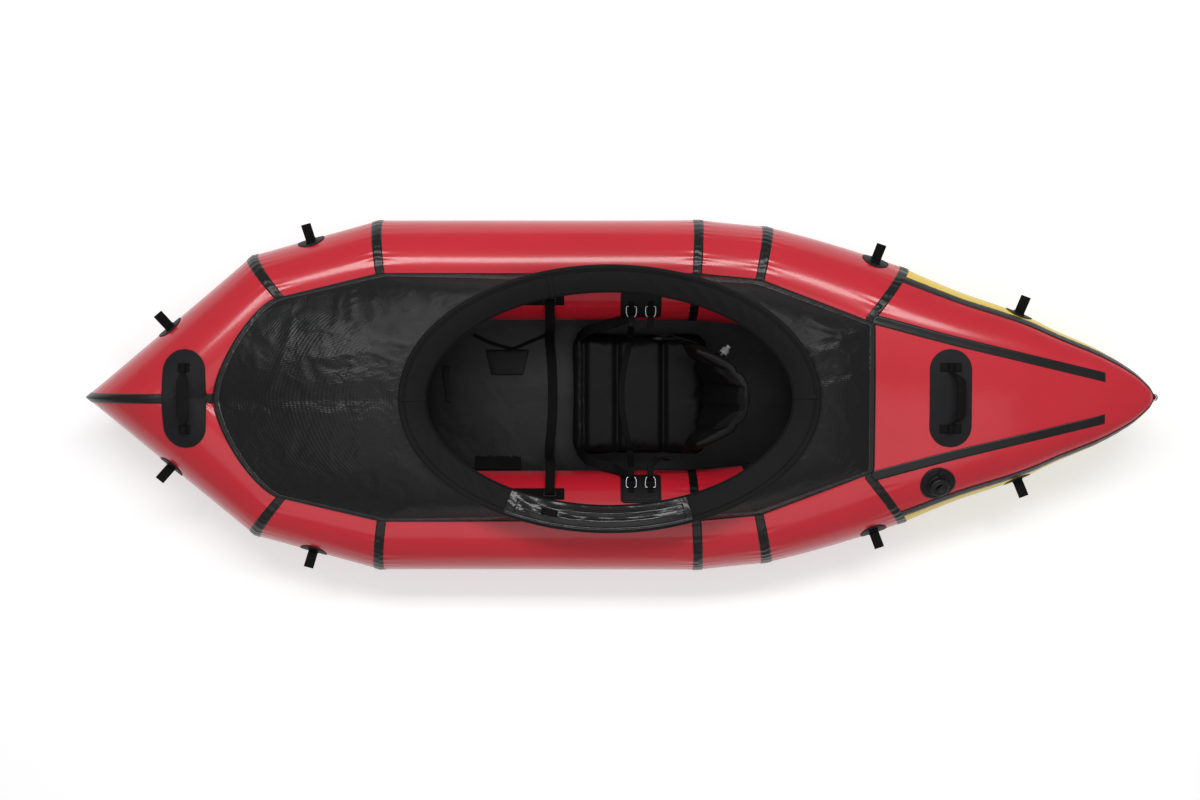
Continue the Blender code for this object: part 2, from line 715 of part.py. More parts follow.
def make_deck(tree, finish):
    """Makes the deck sheet, from the hull's crest lines up to the standing neck under the brim."""
    outline = deck_outline(tree)
    top = brim_level(NECK_INSET - PIPING_RADIUS) - 2 * FIT
    necks = []
    for inset, level in ((NECK_INSET - DECK_THICK, top - NECK_STAND), (NECK_INSET, top)):
        ring = []
        for edge in outline:
            angle = atan2(edge.y / COAMING_WIDTH, (edge.x - COAMING_X) / COAMING_LENGTH)
            ring.append(oval(COAMING_LENGTH - 2 * inset, COAMING_WIDTH - 2 * inset, angle, level))
        necks.append(ring)
    rows = []
    for share in DECK_ROW_SHARES:
        row = []
        for edge, neck in zip(outline, necks[0]):
            span = hypot(neck.x - edge.x, neck.y - edge.y) / DECK_NOSE_RUN
            dome = DECK_DOME * min(span, 1.0) * sin(pi * share)
            row.append(edge + (neck - edge) * share + Vector((0, 0, dome)))
        rows.append(row)
    rows += necks
    return place("deck_sheet", thin_solid(thicken(rows, DECK_THICK), rows, True), finish)


def coaming_frame(angle):
    """Gives the coaming line's point, and the level direction away from the middle."""
    length = COAMING_LENGTH - 2 * PIPING_RADIUS
    width = COAMING_WIDTH - 2 * PIPING_RADIUS
    point = oval(length, width, angle, COAMING_HEIGHT - PIPING_RADIUS)
    away = Vector((cos(angle) / length, sin(angle) / width, 0)).normalized()
    return point, away


def coaming_profile(radius_share):
    """Gives one face of the coaming cloth: round the rod, then inward to the hem."""
    radius = PIPING_RADIUS if radius_share else SLEEVE_BORE
    points = []
    for i in range(ROUND_SIDES):
        angle = 2 * pi * (i + 0.5) / ROUND_SIDES - pi
        points.append((radius * cos(angle), radius * sin(angle)))
    level = -COAMING_CLOTH * (0.0 if radius_share else 1.0)
    points.append((-PIPING_RADIUS * BRIM_ROOT_SHARE, PIPING_RADIUS / 2 + level))
    points.append((-COAMING_BAND / 2, level))
    points.append((-COAMING_BAND + PIPING_RADIUS, -COAMING_DROOP + level))
    return points


def brim_level(inward):
    """Gives the height of the brim's underside at a distance inward from the rod line."""
    near, far = coaming_profile(0)[ROUND_SIDES:ROUND_SIDES + 2]
    share = (inward + near[0]) / (near[0] - far[0])
    return COAMING_HEIGHT - PIPING_RADIUS + near[1] + (far[1] - near[1]) * share


def make_coaming(finish, rod_finish):
    """Makes the coaming's cloth sleeve and brim, and the two rod halves inside it."""
    grids = []
    for face in (1, 0):
        rows = []
        for i in range(COAMING_STEPS):
            point, away = coaming_frame(2 * pi * i / COAMING_STEPS)
            rows.append([point + away * u + Vector((0, 0, w)) for u, w in coaming_profile(face)])
        grids.append([list(column) for column in zip(*rows)])
    place("coaming_sleeve", thin_solid(grids[0], grids[1], True), finish)
    make_rod("coaming_rod_front", 0, rod_finish)
    make_rod("coaming_rod_rear", COAMING_STEPS // 2, rod_finish)


def make_rod(name, turn, finish):
    """Makes one rod half with the ferrule glued on its far end, which takes the other half's end."""
    angles = [QUARTER_TURN + 2 * pi * (i + turn) / COAMING_STEPS for i in range(COAMING_STEPS // 2 + 2)]
    points = [coaming_frame(angle) for angle in angles]
    first, second = points[:2]
    before, joint, after = points[-3:]
    plug = FERRULE_LENGTH / 2
    start = first[0] + (second[0] - first[0]).normalized() * FIT
    back = joint[0] + (before[0] - joint[0]).normalized() * plug
    mouth = joint[0] + (after[0] - joint[0]).normalized() * plug
    bore = ROD_RADIUS + FIT / cos(pi / ROUND_SIDES)
    plan = [(start, first[1], ROD_RADIUS)]
    plan += [(point, away, ROD_RADIUS) for point, away in points[1:-2]]
    plan += [
        (back, joint[1], ROD_RADIUS),
        (back, joint[1], FERRULE_RADIUS),
        (joint[0], joint[1], FERRULE_RADIUS),
        (mouth, joint[1], FERRULE_RADIUS),
        (mouth, joint[1], bore),
        (joint[0], joint[1], bore),
    ]
    return place(name, capped_sweep([circle_row(*entry) for entry in plan]), finish)


def circle_row(point, away, radius, sides=ROUND_SIDES):
    """Gives a small circle about a level line, in the plane of its away direction."""
    row = []
    for i in range(sides):
        angle = 2 * pi * (i + 0.5) / sides
        row.append(point + away * radius * cos(angle) + Vector((0, 0, radius * sin(angle))))
    return row


def tube_frame(a, b, share, angle, side):
    """Gives a place on the skin between two rings, with its outward, upslope and along directions."""
    start, end = ring_point(a, angle), ring_point(b, angle)
    point = start + (end - start) * share
    step = 2 * pi / SIDES / 4
    after = ring_point(a, angle + step) + (ring_point(b, angle + step) - ring_point(a, angle + step)) * share
    before = ring_point(a, angle - step) + (ring_point(b, angle - step) - ring_point(a, angle - step)) * share
    along = (end - start).normalized()
    up = after - before
    up = (up - along * up.dot(along)).normalized()
    out = along.cross(up).normalized()
    centre = a.centre + (b.centre - a.centre) * share
    if out.dot(point - centre) < 0:
        out = -out
    return tuple(Vector((v.x, v.y * side, v.z)) for v in (point, out, up, along))


def ribbon(path, across, thick):
    """Makes a flat strap along a path, with one across vector or one for each point."""
    if isinstance(across, Vector):
        across = [across] * len(path)
    rows_a, rows_b = [], []
    for i, (point, half) in enumerate(zip(path, across)):
        before = path[max(i - 1, 0)]
        after = path[min(i + 1, len(path) - 1)]
        tangent = (after - before).normalized()
        level = half.normalized()
        normal = tangent.cross(level).normalized() * (thick / 2)
        if 0 < i < len(path) - 1:
            bend = (point - before).normalized().dot((after - point).normalized())
            normal /= max(sqrt((1 + bend) / 2), cos(pi / 4))
        rows_a.append([point + half + normal, point - half + normal])
        rows_b.append([point + half - normal, point - half - normal])
    return thin_solid(rows_a, rows_b)


def make_loop(name, rings, share, angle, side, finish):
    """Makes one tie loop: a strap whose two tails lie on the hull and whose fold stands out."""
    point, out, up, along = tube_frame(*rings, share, angle, side)
    radius = rings[0].up + (rings[1].up - rings[0].up) * share
    seat = TAPE_GAP + WEBBING_THICK / 2
    eye = (LOOP_EYE + WEBBING_THICK) / 2
    half = []
    for v in (LOOP_TAIL, LOOP_TAIL / 2):
        half.append((seat + sqrt(radius * radius - v * v) - radius, v))
    half += [(seat + FIT, WEBBING_THICK * 2), (WEBBING_THICK * 3, LOOP_ROOT)]
    half += [(LOOP_REACH * reach, eye * spread) for reach, spread in LOOP_FOLD_SHARES]
    line = half + [(u, -v) for u, v in reversed(half)]
    path = [point + out * u + up * v for u, v in line]
    return place(name, ribbon(path, along * (WEBBING / 2), WEBBING_THICK), finish, point)


def make_loops(finish):
    """Makes the eight tie loops along the hull's sides."""
    rings = hull_rings()
    swell = quarter_swell(rings[4], rings[5])
    places = {
        "bow": ((rings[0], rings[1]), LOOP_BOW_SHARE, LOOP_ANGLE),
        "front": ((rings[1], rings[2]), LOOP_FRONT_SHARE, LOOP_ANGLE),
        "quarter": ((swell, rings[5]), LOOP_QUARTER_SHARE, LOOP_ANGLE),
        "stern": ((stern_ring(2), stern_ring(3)), LOOP_STERN_SHARE, LOOP_STERN_ANGLE),
    }
    for side, word in SIDE_NAMES.items():
        for spot, (pair, share, angle) in places.items():
            make_loop("tie_loop_" + spot + "_" + word, pair, share, angle, side, finish)


def lay(tree, rows, clear, out):
    """Moves a grid of points along a direction, so that its cells clear a skin all over."""
    for row in rows:
        for point in row:
            point += out * (out.dot(surface(tree, point, out) - point) + clear)
    shares = [i / TABLE_SLOTS for i in range(TABLE_SLOTS + 1)]
    for row, after in zip(rows, rows[1:]):
        for j in range(len(row) - 1):
            corners = (row[j], row[j + 1], after[j], after[j + 1])
            need = 0.0
            for u in shares:
                for v in shares:
                    near = corners[0].lerp(corners[1], u)
                    spot = near.lerp(corners[2].lerp(corners[3], u), v)
                    need = max(need, out.dot(surface(tree, spot, out) - spot) + clear)
            for corner in corners:
                corner += out * need


def make_patch(name, tree, x, clear, finish):
    """Makes a handle's long round-ended patch over the hull's top, and gives its search tree."""
    half = HANDLE_PATCH_LENGTH / 2
    radius = HANDLE_PATCH_WIDTH / 2
    stretch = half - radius
    low = []
    levels = [i / PATCH_ROWS for i in range(-PATCH_ROWS, PATCH_ROWS + 1)]
    for level in levels:
        y = half * level * PATCH_END_SHARE
        beyond = max(abs(y) - stretch, 0)
        reach = sqrt(radius * radius - beyond * beyond)
        columns = [x + reach * i / PATCH_COLUMNS for i in range(-PATCH_COLUMNS, PATCH_COLUMNS + 1)]
        low.append([Vector((column, y, 0.0)) for column in columns])
    lay(tree, low, clear, Vector((0, 0, 1)))
    high = [[p + Vector((0, 0, PLATE_THICK)) for p in row] for row in low]
    builder = thin_solid(high, low)
    patch_tree = BVHTree.FromBMesh(builder)
    place(name, builder, finish)
    return patch_tree


def handle_axis(patch_tree, x):
    """Gives the height of a handle's hinge line, with its two round feet just above the patch."""
    tops = []
    for i in range(TABLE_SLOTS * 2 + 1):
        y = HANDLE_SPAN / 2 * (1 - (1 - HANDLE_FOOT_SHARE) * i / TABLE_SLOTS / 2)
        for reach in (-HANDLE_FOOT_RADIUS, 0, HANDLE_FOOT_RADIUS):
            tops.append(drop(patch_tree, x + reach, y))
    return max(tops) + FIT + HANDLE_FOOT_RADIUS * cos(pi / HANDLE_SIDES)


def make_handle(name, patch_tree, x, lean, finish):
    """Makes a carrying handle: a webbing arch that swings about the line through its feet."""
    level = handle_axis(patch_tree, x)
    stations = [(1.0, 0.0), (HANDLE_FOOT_SHARE, 0.0), *HANDLE_ARCH_SHARES]
    stations += [(-share, rise) for share, rise in reversed(stations[:-1])]
    rows = []
    for share, rise in stations:
        wide = HANDLE_FOOT_RADIUS + (HANDLE_GRIP_WIDTH / 2 - HANDLE_FOOT_RADIUS) * rise
        thick = HANDLE_FOOT_RADIUS + (HANDLE_GRIP_THICK / 2 - HANDLE_FOOT_RADIUS) * rise
        row = []
        for i in range(HANDLE_SIDES):
            angle = 2 * pi * (i + 0.5) / HANDLE_SIDES
            flat = wide * cos(angle)
            tall = HANDLE_RISE * rise + thick * sin(angle)
            row.append(Vector((
                x + flat * cos(lean) + tall * sin(lean),
                HANDLE_SPAN / 2 * share,
                level - flat * sin(lean) + tall * cos(lean),
            )))
        rows.append(row)
    return place(name, capped_sweep(rows), finish, (x, 0, level))


def side_point(x, angle, offset, side):
    """Gives the place on the side tube at a distance along the boat and an angle round the tube."""
    front, rear = hull_rings()[2:4]
    start, end = ring_point(front, angle, offset), ring_point(rear, angle, offset)
    point = start + (end - start) * ((x - start.x) / (end.x - start.x))
    return Vector((x, point.y * side, point.z))


def tube_plate(x, length, low, high, corner, side):
    """Makes a cloth plate on the cockpit side of the side tube, with cut corners."""
    cut = corner / TUBE_RADIUS
    angles = lobe_angles(pi - high + cut, pi - low - cut)
    angles = [pi - high, *angles, pi - low]
    below, above = [], []
    for angle in angles:
        short = corner if angle in (pi - high, pi - low) else 0.0
        ends = (x - length / 2 + short, x + length / 2 - short)
        below.append([side_point(end, angle, TAPE_GAP, side) for end in ends])
        above.append([side_point(end, angle, TAPE_GAP + PLATE_THICK, side) for end in ends])
    return thin_solid(above, below)


def side_frame(x, angle, side):
    """Gives a place on the cockpit side of the side tube, its outward and its upslope direction."""
    place_here = side_point(x, pi - angle, 0.0, side)
    out = Vector((0, -side * cos(angle), sin(angle)))
    up = Vector((0, side * sin(angle), cos(angle)))
    return place_here, out, up


def ring_pivot(x, side):
    """Gives the middle of a D-ring's straight bar."""
    point, out, up = side_frame(x, RING_ANGLE, side)
    return point + out * (TAPE_GAP + PLATE_THICK + KEEPER_PLAY + RING_WIRE)


def cutter(name, builder):
    """Makes a helper solid that only serves a Boolean."""
    bmesh.ops.recalc_face_normals(builder, faces=builder.faces)
    mesh = bpy.data.meshes.new(name)
    builder.to_mesh(mesh)
    builder.free()
    thing = bpy.data.objects.new(name, mesh)
    thing.hide_render = True
    thing.display_type = "WIRE"
    bpy.context.scene.collection.objects.link(thing)
    return thing


def boolean(thing, tool, operation):
    """Adds an exact Boolean to an object."""
    step = thing.modifiers.new(tool.name, "BOOLEAN")
    step.object = tool
    step.operation = operation
    step.solver = "EXACT"


def keeper(x, side):
    """Makes the webbing bridge that holds a D-ring's bar on its plate."""
    point, out, up = side_frame(x, RING_ANGLE, side)
    floor = TAPE_GAP + PLATE_THICK
    radius = RING_WIRE + KEEPER_PLAY + KEEPER_CLOTH / 2
    middle = floor + KEEPER_PLAY + RING_WIRE
    fall = tan(pi / SIDES)
    near = (floor + KEEPER_CLOTH / 2 - FIT - radius * fall, radius)
    far = (near[0] - KEEPER_FOOT * fall, radius + KEEPER_FOOT)
    line = [(far[0], -far[1]), (near[0], -near[1])]
    line += [(middle + radius * sin(a), -radius * cos(a)) for a in BEND_ANGLES]
    line += [near, far]
    path = [point + out * u + up * v for u, v in line]
    return ribbon(path, Vector((KEEPER_WIDTH / 2, 0, 0)), KEEPER_CLOTH)


def ring_spots():
    """Gives the places of the forward and the aft D-ring along the boat."""
    return {"fore": RING_PLATE_X - RING_SPACING / 2, "aft": RING_PLATE_X + RING_SPACING / 2}


def ring_line(side):
    """Gives a D-ring's wire path as pairs: along the boat, and out from the bar."""
    wide = RING_WIDTH / 2 - RING_WIRE
    deep = RING_DEPTH - RING_WIRE
    half = [(wide * across, deep * reach) for across, reach in RING_LINE_SHARES]
    reach = Vector((0, -side * cos(RING_DROP), -sin(RING_DROP)))
    line = half + [(-x, s) for x, s in reversed(half)]
    return [Vector((x, 0, 0)) + reach * s for x, s in line]


def make_rings(finishes):
    """Makes both D-ring plates with their keepers, and the four D-rings."""
    bounds = (RING_PLATE_X, RING_PLATE_LENGTH, RING_PLATE_LOW, RING_PLATE_HIGH, RING_PLATE_CORNER)
    for side, word in SIDE_NAMES.items():
        plate = place("ring_plate_" + word, tube_plate(*bounds, side), finishes["tape"])
        for spot, x in ring_spots().items():
            tool = cutter("keeper_" + spot + "_" + word, keeper(x, side))
            boolean(plate, tool, "UNION")
            curve = bpy.data.curves.new("d_ring_" + spot + "_" + word, "CURVE")
            curve.dimensions = "3D"
            curve.bevel_depth = RING_WIRE
            curve.bevel_resolution = 1
            line = ring_line(side)
            spline = curve.splines.new("POLY")
            spline.points.add(len(line) - 1)
            for dot, place_here in zip(spline.points, line):
                dot.co = (*place_here, 1)
            spline.use_cyclic_u = True
            curve.materials.append(finishes["steel"])
            thing = bpy.data.objects.new(curve.name, curve)
            thing.location = ring_pivot(x, side)
            bpy.context.scene.collection.objects.link(thing)


def make_anchors(finish):
    """Makes the strap anchors on the side tubes, each with a ladder buckle on it."""
    for side, word in SIDE_NAMES.items():
        plate = place(
            "strap_anchor_" + word,
            tube_plate(ANCHOR_X, ANCHOR_LENGTH, ANCHOR_LOW, ANCHOR_HIGH, RING_PLATE_CORNER / 4, side),
            finish,
        )
        boolean(plate, cutter("buckle_" + word, buckle(side)), "UNION")


def buckle(side):
    """Makes a ladder buckle: a flat frame with two slots, bedded on its anchor."""
    angle = (ANCHOR_LOW + ANCHOR_HIGH) / 2
    point, out, up = side_frame(BUCKLE_X, angle, side)
    base = TAPE_GAP + PLATE_THICK - FIT - TUBE_RADIUS * (1 - cos(pi / SIDES))
    bm = bmesh.new()
    fore = Vector((1, 0, 0))
    rim = BUCKLE_LENGTH / 2 - BUCKLE_BAR

    def corner(x, v, u):
        return bm.verts.new(point + fore * x + up * (v * BUCKLE_DEPTH / 2) + out * (base + u))

    xs = (-BUCKLE_LENGTH / 2, -rim, rim, BUCKLE_LENGTH / 2)
    tables = [[[corner(x, v, u) for v in BUCKLE_BAR_SHARES] for x in xs] for u in (0.0, BUCKLE_THICK)]
    holes = {(1, 1), (1, 3)}
    for i in range(len(xs) - 1):
        for j in range(len(BUCKLE_BAR_SHARES) - 1):
            if (i, j) in holes:
                continue
            for table in tables:
                bm.faces.new((table[i][j], table[i + 1][j], table[i + 1][j + 1], table[i][j + 1]))
    rims = [e for e in bm.edges if len(e.link_faces) == 1]
    low, high = tables
    pairs = {}
    for i in range(len(xs)):
        for j in range(len(BUCKLE_BAR_SHARES)):
            pairs[low[i][j]] = high[i][j]
    for edge in rims:
        a, b = edge.verts
        if a in pairs and b in pairs:
            bm.faces.new((a, b, pairs[b], pairs[a]))
    return bm


def seat_level():
    """Gives the height on which the seat cushion lies."""
    return FLOOR_THICK + FIT


def seat_rows():
    """Gives the seat cushion's cross sections, with its crown, drawn-in sides and cross channels."""
    rows = []
    shares = list(SEAT_END_SHARES)
    for channel in SEAT_CHANNEL_SHARES:
        gap = SEAT_CHANNEL_WIDTH / 2 / SEAT_LENGTH
        flank = gap * SEAT_FLANK_SHARE
        shares += [channel - 2 * gap, channel - flank, channel, channel + flank, channel + 2 * gap]
    shares += [(SEAT_CHANNEL_SHARES[1] + SEAT_CHANNEL_SHARES[0]) / 2]
    shares += [(SEAT_CHANNEL_SHARES[2] + SEAT_CHANNEL_SHARES[1]) / 2]
    shares += [(1 + SEAT_CHANNEL_SHARES[2]) / 2] + [1 - end for end in SEAT_END_SHARES]
    for share in sorted(shares):
        end = abs(2 * share - 1)
        round_share = (1 - end ** SEAT_CORNER_POWER) ** SEAT_CORNER_ROOT if end < 1 else SEAT_END_WIDTH_SHARE
        half = SEAT_WIDTH / 2 * round_share * (1 - SEAT_WAIST_SHARE * sin(pi * share))
        height = SEAT_THICK * (1 - SEAT_END_DROP_SHARE * end ** SEAT_DROP_POWER)
        gap = SEAT_CHANNEL_WIDTH / SEAT_LENGTH
        nearness = [max(0.0, 1 - abs(share - channel) / gap) for channel in SEAT_CHANNEL_SHARES]
        dip = sum(near ** SEAT_CHANNEL_POWER for near in nearness)
        crown = SEAT_CROWN * (1 - end ** SEAT_CROWN_POWER)
        rows.append(seat_section(share, half, height, crown, dip * SEAT_CHANNEL_DEPTH))
    return rows


def seat_section(share, half, height, crown, dip):
    """Gives one cross section of the seat cushion, from the port bottom edge round the top."""
    x = SEAT_FRONT_X + SEAT_LENGTH * share
    base = seat_level()
    points = []
    for y, z, dipped in SEAT_OUTLINE_SHARES + tuple((-y, z, d) for y, z, d in reversed(SEAT_OUTLINE_SHARES)):
        bulge = crown * (1 - y * y) if z == 1.0 else 0.0
        points.append(Vector((x, half * y, base + (height - crown) * z + bulge - dip * dipped)))
    points += [Vector((x, side * SEAT_SOLE_SHARE * half, base)) for side in (STARBOARD, PORT)]
    return points


def back_base():
    """Gives the backrest's lowest middle point, on the rear of the seat cushion."""
    return Vector((SEAT_FRONT_X + SEAT_LENGTH - BACK_THICK / 2, 0, seat_level() + SEAT_THICK + 4 * FIT))


def back_pivot():
    """Gives the middle of the backrest's fold line on the seat."""
    return back_base() - Vector((BACK_THICK * BACK_HINGE_SHARE, 0, 2 * FIT))


def back_middle(across, level):
    """Gives a point of the backrest's middle surface, from wing to wing and from base to top."""
    half = (BACK_WIDTH + (BACK_TOP_WIDTH - BACK_WIDTH) * level) / 2
    wrap = BACK_WRAP + (BACK_TOP_WRAP - BACK_WRAP) * level
    side = abs(across)
    x = BACK_LEAN * level - wrap * side ** BACK_WRAP_POWER
    z = BACK_SIDE_RISE * side ** BACK_RISE_POWER * (1 - level)
    z += BACK_HEIGHT * level * (1 - BACK_DROP_SHARE * side * side)
    return back_base() + Vector((x, half * across, z))


def back_faces():
    """Gives the front and rear grids of the backrest cushion, crowned and channelled."""
    columns = BACK_CHANNELS * 4
    step = BACK_STEP_SHARE
    front, rear = [], []
    for level in BACK_LEVEL_SHARES:
        front_row, rear_row = [], []
        for i in range(columns + 1):
            across = -1 + 2 * i / columns
            middle = back_middle(across, level)
            side_step = back_middle(min(across + step, 1), level) - back_middle(max(across - step, -1), level)
            up_step = back_middle(across, min(level + step, 1)) - back_middle(across, max(level - step, 0))
            normal = side_step.cross(up_step).normalized()
            full = sqrt((1 - abs(2 * level - 1) ** BACK_END_POWER) * (1 - abs(across) ** BACK_SIDE_POWER))
            wave = abs(cos(pi * BACK_CHANNELS * (across + 1) / 2))
            channel = wave ** BACK_CHANNEL_POWER * BACK_CHANNEL_DEPTH
            depth = BACK_EDGE / 2 + full * ((BACK_THICK - BACK_EDGE) / 2 - channel)
            front_row.append(middle - normal * depth)
            rear_row.append(middle + normal * depth)
        front.append(front_row)
        rear.append(rear_row)
    return front, rear


def stem_frame():
    """Gives the start and the tip of the seat's inflation stem, which lies along its starboard edge."""
    y = SEAT_WIDTH / 2 * STEM_SIDE_SHARE
    z = seat_level() + SEAT_THICK - SEAT_CROWN
    start = Vector((SEAT_FRONT_X + SEAT_LENGTH * STEM_ALONG_SHARE, y, z))
    return start, start + Vector((-cos(STEM_RISE), 0, sin(STEM_RISE))) * STEM_HOSE


def back_stub():
    """Gives the root and the outward direction of the backrest's inflation stub."""
    front, rear = back_faces()
    middle = rear[5][-4]
    across = (rear[5][-3] - rear[5][-5]).normalized()
    up = (rear[6][-4] - rear[4][-4]).normalized()
    normal = across.cross(up).normalized()
    if normal.y < 0:
        normal = -normal
    return middle, normal


def turned(profile, origin, axis, sides):
    """Turns a closed outline of radius and height pairs about an axis."""
    axis = axis.normalized()
    turn = Vector((0, 0, 1)).rotation_difference(axis).to_matrix()
    rows = []
    for i in range(sides):
        angle = 2 * pi * i / sides
        rows.append([origin + turn @ Vector((r * cos(angle), r * sin(angle), h)) for r, h in profile])
    bm = bmesh.new()
    lines = sweep(bm, rows, True)
    join_lines(bm, lines[0], lines[-1], True)
    bmesh.ops.remove_doubles(bm, verts=bm.verts, dist=FIT / 1000)
    bmesh.ops.dissolve_degenerate(bm, dist=FIT / 1000, edges=bm.edges)
    return bm


def mouthpiece(name, tip, axis, radius, finish):
    """Makes a mouthpiece: a cap that pulls out along its stem to open."""
    wall = radius * MOUTHPIECE_WALL_SHARE
    bore = radius + FIT / cos(pi / STEM_SIDES)
    profile = [(bore, -STEM_LENGTH / 2), (bore + wall, -STEM_LENGTH / 2), (bore + wall, STEM_LENGTH / 5)]
    profile += [(bore * wide, STEM_LENGTH * high) for wide, high in MOUTHPIECE_TIP_SHARES]
    profile += [(bore * MOUTHPIECE_TIP_SHARES[-1][0], FIT), (bore, FIT)]
    builder = turned(profile, tip, axis, STEM_SIDES)
    return place(name, builder, finish, tip)


def rod_between(start, end, radius, sides):
    """Makes a plain round bar between two places."""
    axis = (end - start).normalized()
    turn = Vector((0, 0, 1)).rotation_difference(axis).to_matrix()
    rows = []
    for centre in (start, end):
        rows.append([
            centre + turn @ Vector((radius * cos(2 * pi * i / sides), radius * sin(2 * pi * i / sides), 0))
            for i in range(sides)
        ])
    return capped_sweep(rows)


def make_seat(finishes):
    """Makes the seat cushion, the backrest and their two mouthpieces."""
    seat = place("seat_base", capped_sweep(seat_rows()), finishes["black"])
    start, tip = stem_frame()
    boolean(seat, cutter("seat_stem", rod_between(start, tip, MOUTHPIECE_RADIUS, STEM_SIDES)), "UNION")
    mouthpiece("seat_mouthpiece", tip, tip - start, MOUTHPIECE_RADIUS, finishes["plastic"])
    front, rear = back_faces()
    back = place("seat_backrest", thin_solid(front, rear), finishes["black"], back_pivot())
    root, normal = back_stub()
    stub_tip = root + normal * STEM_LENGTH
    stub = cutter("back_stub", rod_between(root - normal * BACK_EDGE / 2, stub_tip, STEM_RADIUS, STEM_SIDES))
    boolean(back, stub, "UNION")
    mouthpiece("backrest_mouthpiece", stub_tip, normal, STEM_RADIUS, finishes["plastic"])


def ring_eye(x, side):
    """Gives the middle of a D-ring's far bar, with the direction from its hinge to it."""
    reach = Vector((0, -side * cos(RING_DROP), -sin(RING_DROP)))
    return ring_pivot(x, side) + reach * (RING_DEPTH - RING_WIRE), reach


def ring_bend(x, side, width, leaves_above):
    """Gives the start of a strap that is folded round a D-ring's far bar: its tail, bend and exit."""
    eye, reach = ring_eye(x, side)
    normal = Vector((0, -reach.z * side, reach.y * side)).normalized()
    if (normal.z > 0) != leaves_above:
        normal = -normal
    radius = RING_WIRE + KEEPER_PLAY + WEBBING_THICK / 2
    near = WEBBING_THICK
    grip, turn = width * STRAP_GRIP_SHARE, radius * STRAP_TURN_SHARE
    line = [(width * STRAP_TAIL_SHARE, -near), (grip, -near), (turn, -radius)]
    line += [(-radius * sin(a), -radius * cos(a)) for a in BEND_ANGLES]
    line += [(turn, radius), (grip, near)]
    return [eye + reach * u + normal * v for u, v in line]


def wing_place(side, level, column):
    """Gives a place just off the outer face of a backrest wing."""
    rear = back_faces()[1]
    middle = rear[level][column]
    across = rear[level][column + 1] - rear[level][column - 1]
    up = rear[level + 1][column] - rear[level - 1][column]
    normal = across.cross(up).normalized()
    if normal.y < 0:
        normal = -normal
    point = middle + normal * WEBBING_THICK * WING_STAND_SHARE
    return Vector((point.x, point.y * side, point.z)), Vector((up.x, up.y * side, up.z)).normalized()


def make_back_straps(finish):
    """Makes the straps from the rear D-rings to the backrest's wings, bunched where they pass a ring."""
    for side, word in SIDE_NAMES.items():
        path = ring_bend(ring_spots()["aft"], side, NARROW_WEBBING, True)
        fore = Vector((1, 0, 0))
        across = [fore * NARROW_WEBBING / 2] * len(path)
        near, up = wing_place(side, 4, -2)
        middle, far = (wing_place(side, 4, column)[0] for column in (-3, -4))
        leave = (path[-1] - path[-2]).normalized()
        arrive = (near - middle).normalized()
        lead = near + arrive * WEBBING
        pull = (lead - path[-1]).length / 3
        handles = (path[-1] + leave * pull, lead + arrive * pull)
        turn = interpolate_bezier(path[-1], *handles, lead, TURN_STEPS + 1)
        for step in range(1, TURN_STEPS):
            path.append(turn[step])
            share = step / TURN_STEPS
            width = NARROW_WEBBING + (WEBBING - NARROW_WEBBING) * share
            across.append(fore.lerp(up, share).normalized() * width / 2)
        for point in (lead, near, middle, far):
            path.append(point)
            across.append(up * WEBBING / 2)
        level = []
        for i, half in enumerate(across):
            tangent = (path[min(i + 1, len(path) - 1)] - path[max(i - 1, 0)]).normalized()
            level.append((half - tangent * half.dot(tangent)).normalized() * half.length)
        place("backrest_strap_" + word, ribbon(path, level, WEBBING_THICK), finish)


def make_cross_strap(finish):
    """Makes the strap from one forward D-ring over the seat cushion to the other."""
    x = ring_spots()["fore"]
    share = (x - SEAT_FRONT_X) / SEAT_LENGTH
    half = SEAT_WIDTH / 2 * (1 - SEAT_WAIST_SHARE * sin(pi * share))
    lift = seat_level() + SEAT_THICK - SEAT_CROWN + WEBBING_THICK / 2 + 2 * FIT
    path = ring_bend(x, STARBOARD, NARROW_WEBBING, False)
    for v in (-entry[0] for entry in SEAT_OUTLINE_SHARES if entry[1] == 1.0):
        path.append(Vector((x, half * v, lift + SEAT_CROWN * (1 - v * v))))
    path += [Vector((p.x, -p.y, p.z)) for p in reversed(path)]
    place("cross_strap", ribbon(path, Vector((NARROW_WEBBING / 2, 0, 0)), WEBBING_THICK), finish)


def make_front_strap(finish):
    """Makes the strap that runs from buckle to buckle over the floor, before the seat."""
    angle = (ANCHOR_LOW + ANCHOR_HIGH) / 2
    point, out, up = side_frame(BUCKLE_X, angle, STARBOARD)
    base = TAPE_GAP + PLATE_THICK - TUBE_RADIUS * (1 - cos(pi / SIDES))
    slot = (BUCKLE_BAR_SHARES[1] + BUCKLE_BAR_SHARES[2]) / 2 * BUCKLE_DEPTH / 2
    top = base + BUCKLE_THICK + WEBBING_THICK
    floor = FLOOR_THICK + FIT + WEBBING_THICK / 2
    inner = SIDE_Y - TUBE_RADIUS - TAPE_STACK - WEBBING
    path = [
        point + up * slot + out * (base + WEBBING_THICK / 2),
        point + up * slot + out * (top - WEBBING_THICK),
        point + up * (slot - WEBBING_THICK) + out * top,
        point - up * (BUCKLE_DEPTH / 2 + WEBBING_THICK) + out * top,
        Vector((BUCKLE_X, inner, AXIS_Z)),
        Vector((BUCKLE_X, inner - WEBBING / 2, AXIS_Z / 3)),
        Vector((BUCKLE_X, inner - WEBBING, floor + WEBBING / 3)),
        Vector((BUCKLE_X, inner - WEBBING * 2, floor)),
        Vector((BUCKLE_X, inner / 4, floor)),
    ]
    path += [Vector((p.x, -p.y, p.z)) for p in reversed(path)]
    place("front_strap", ribbon(path, Vector((WEBBING / 2, 0, 0)), WEBBING_THICK), finish)


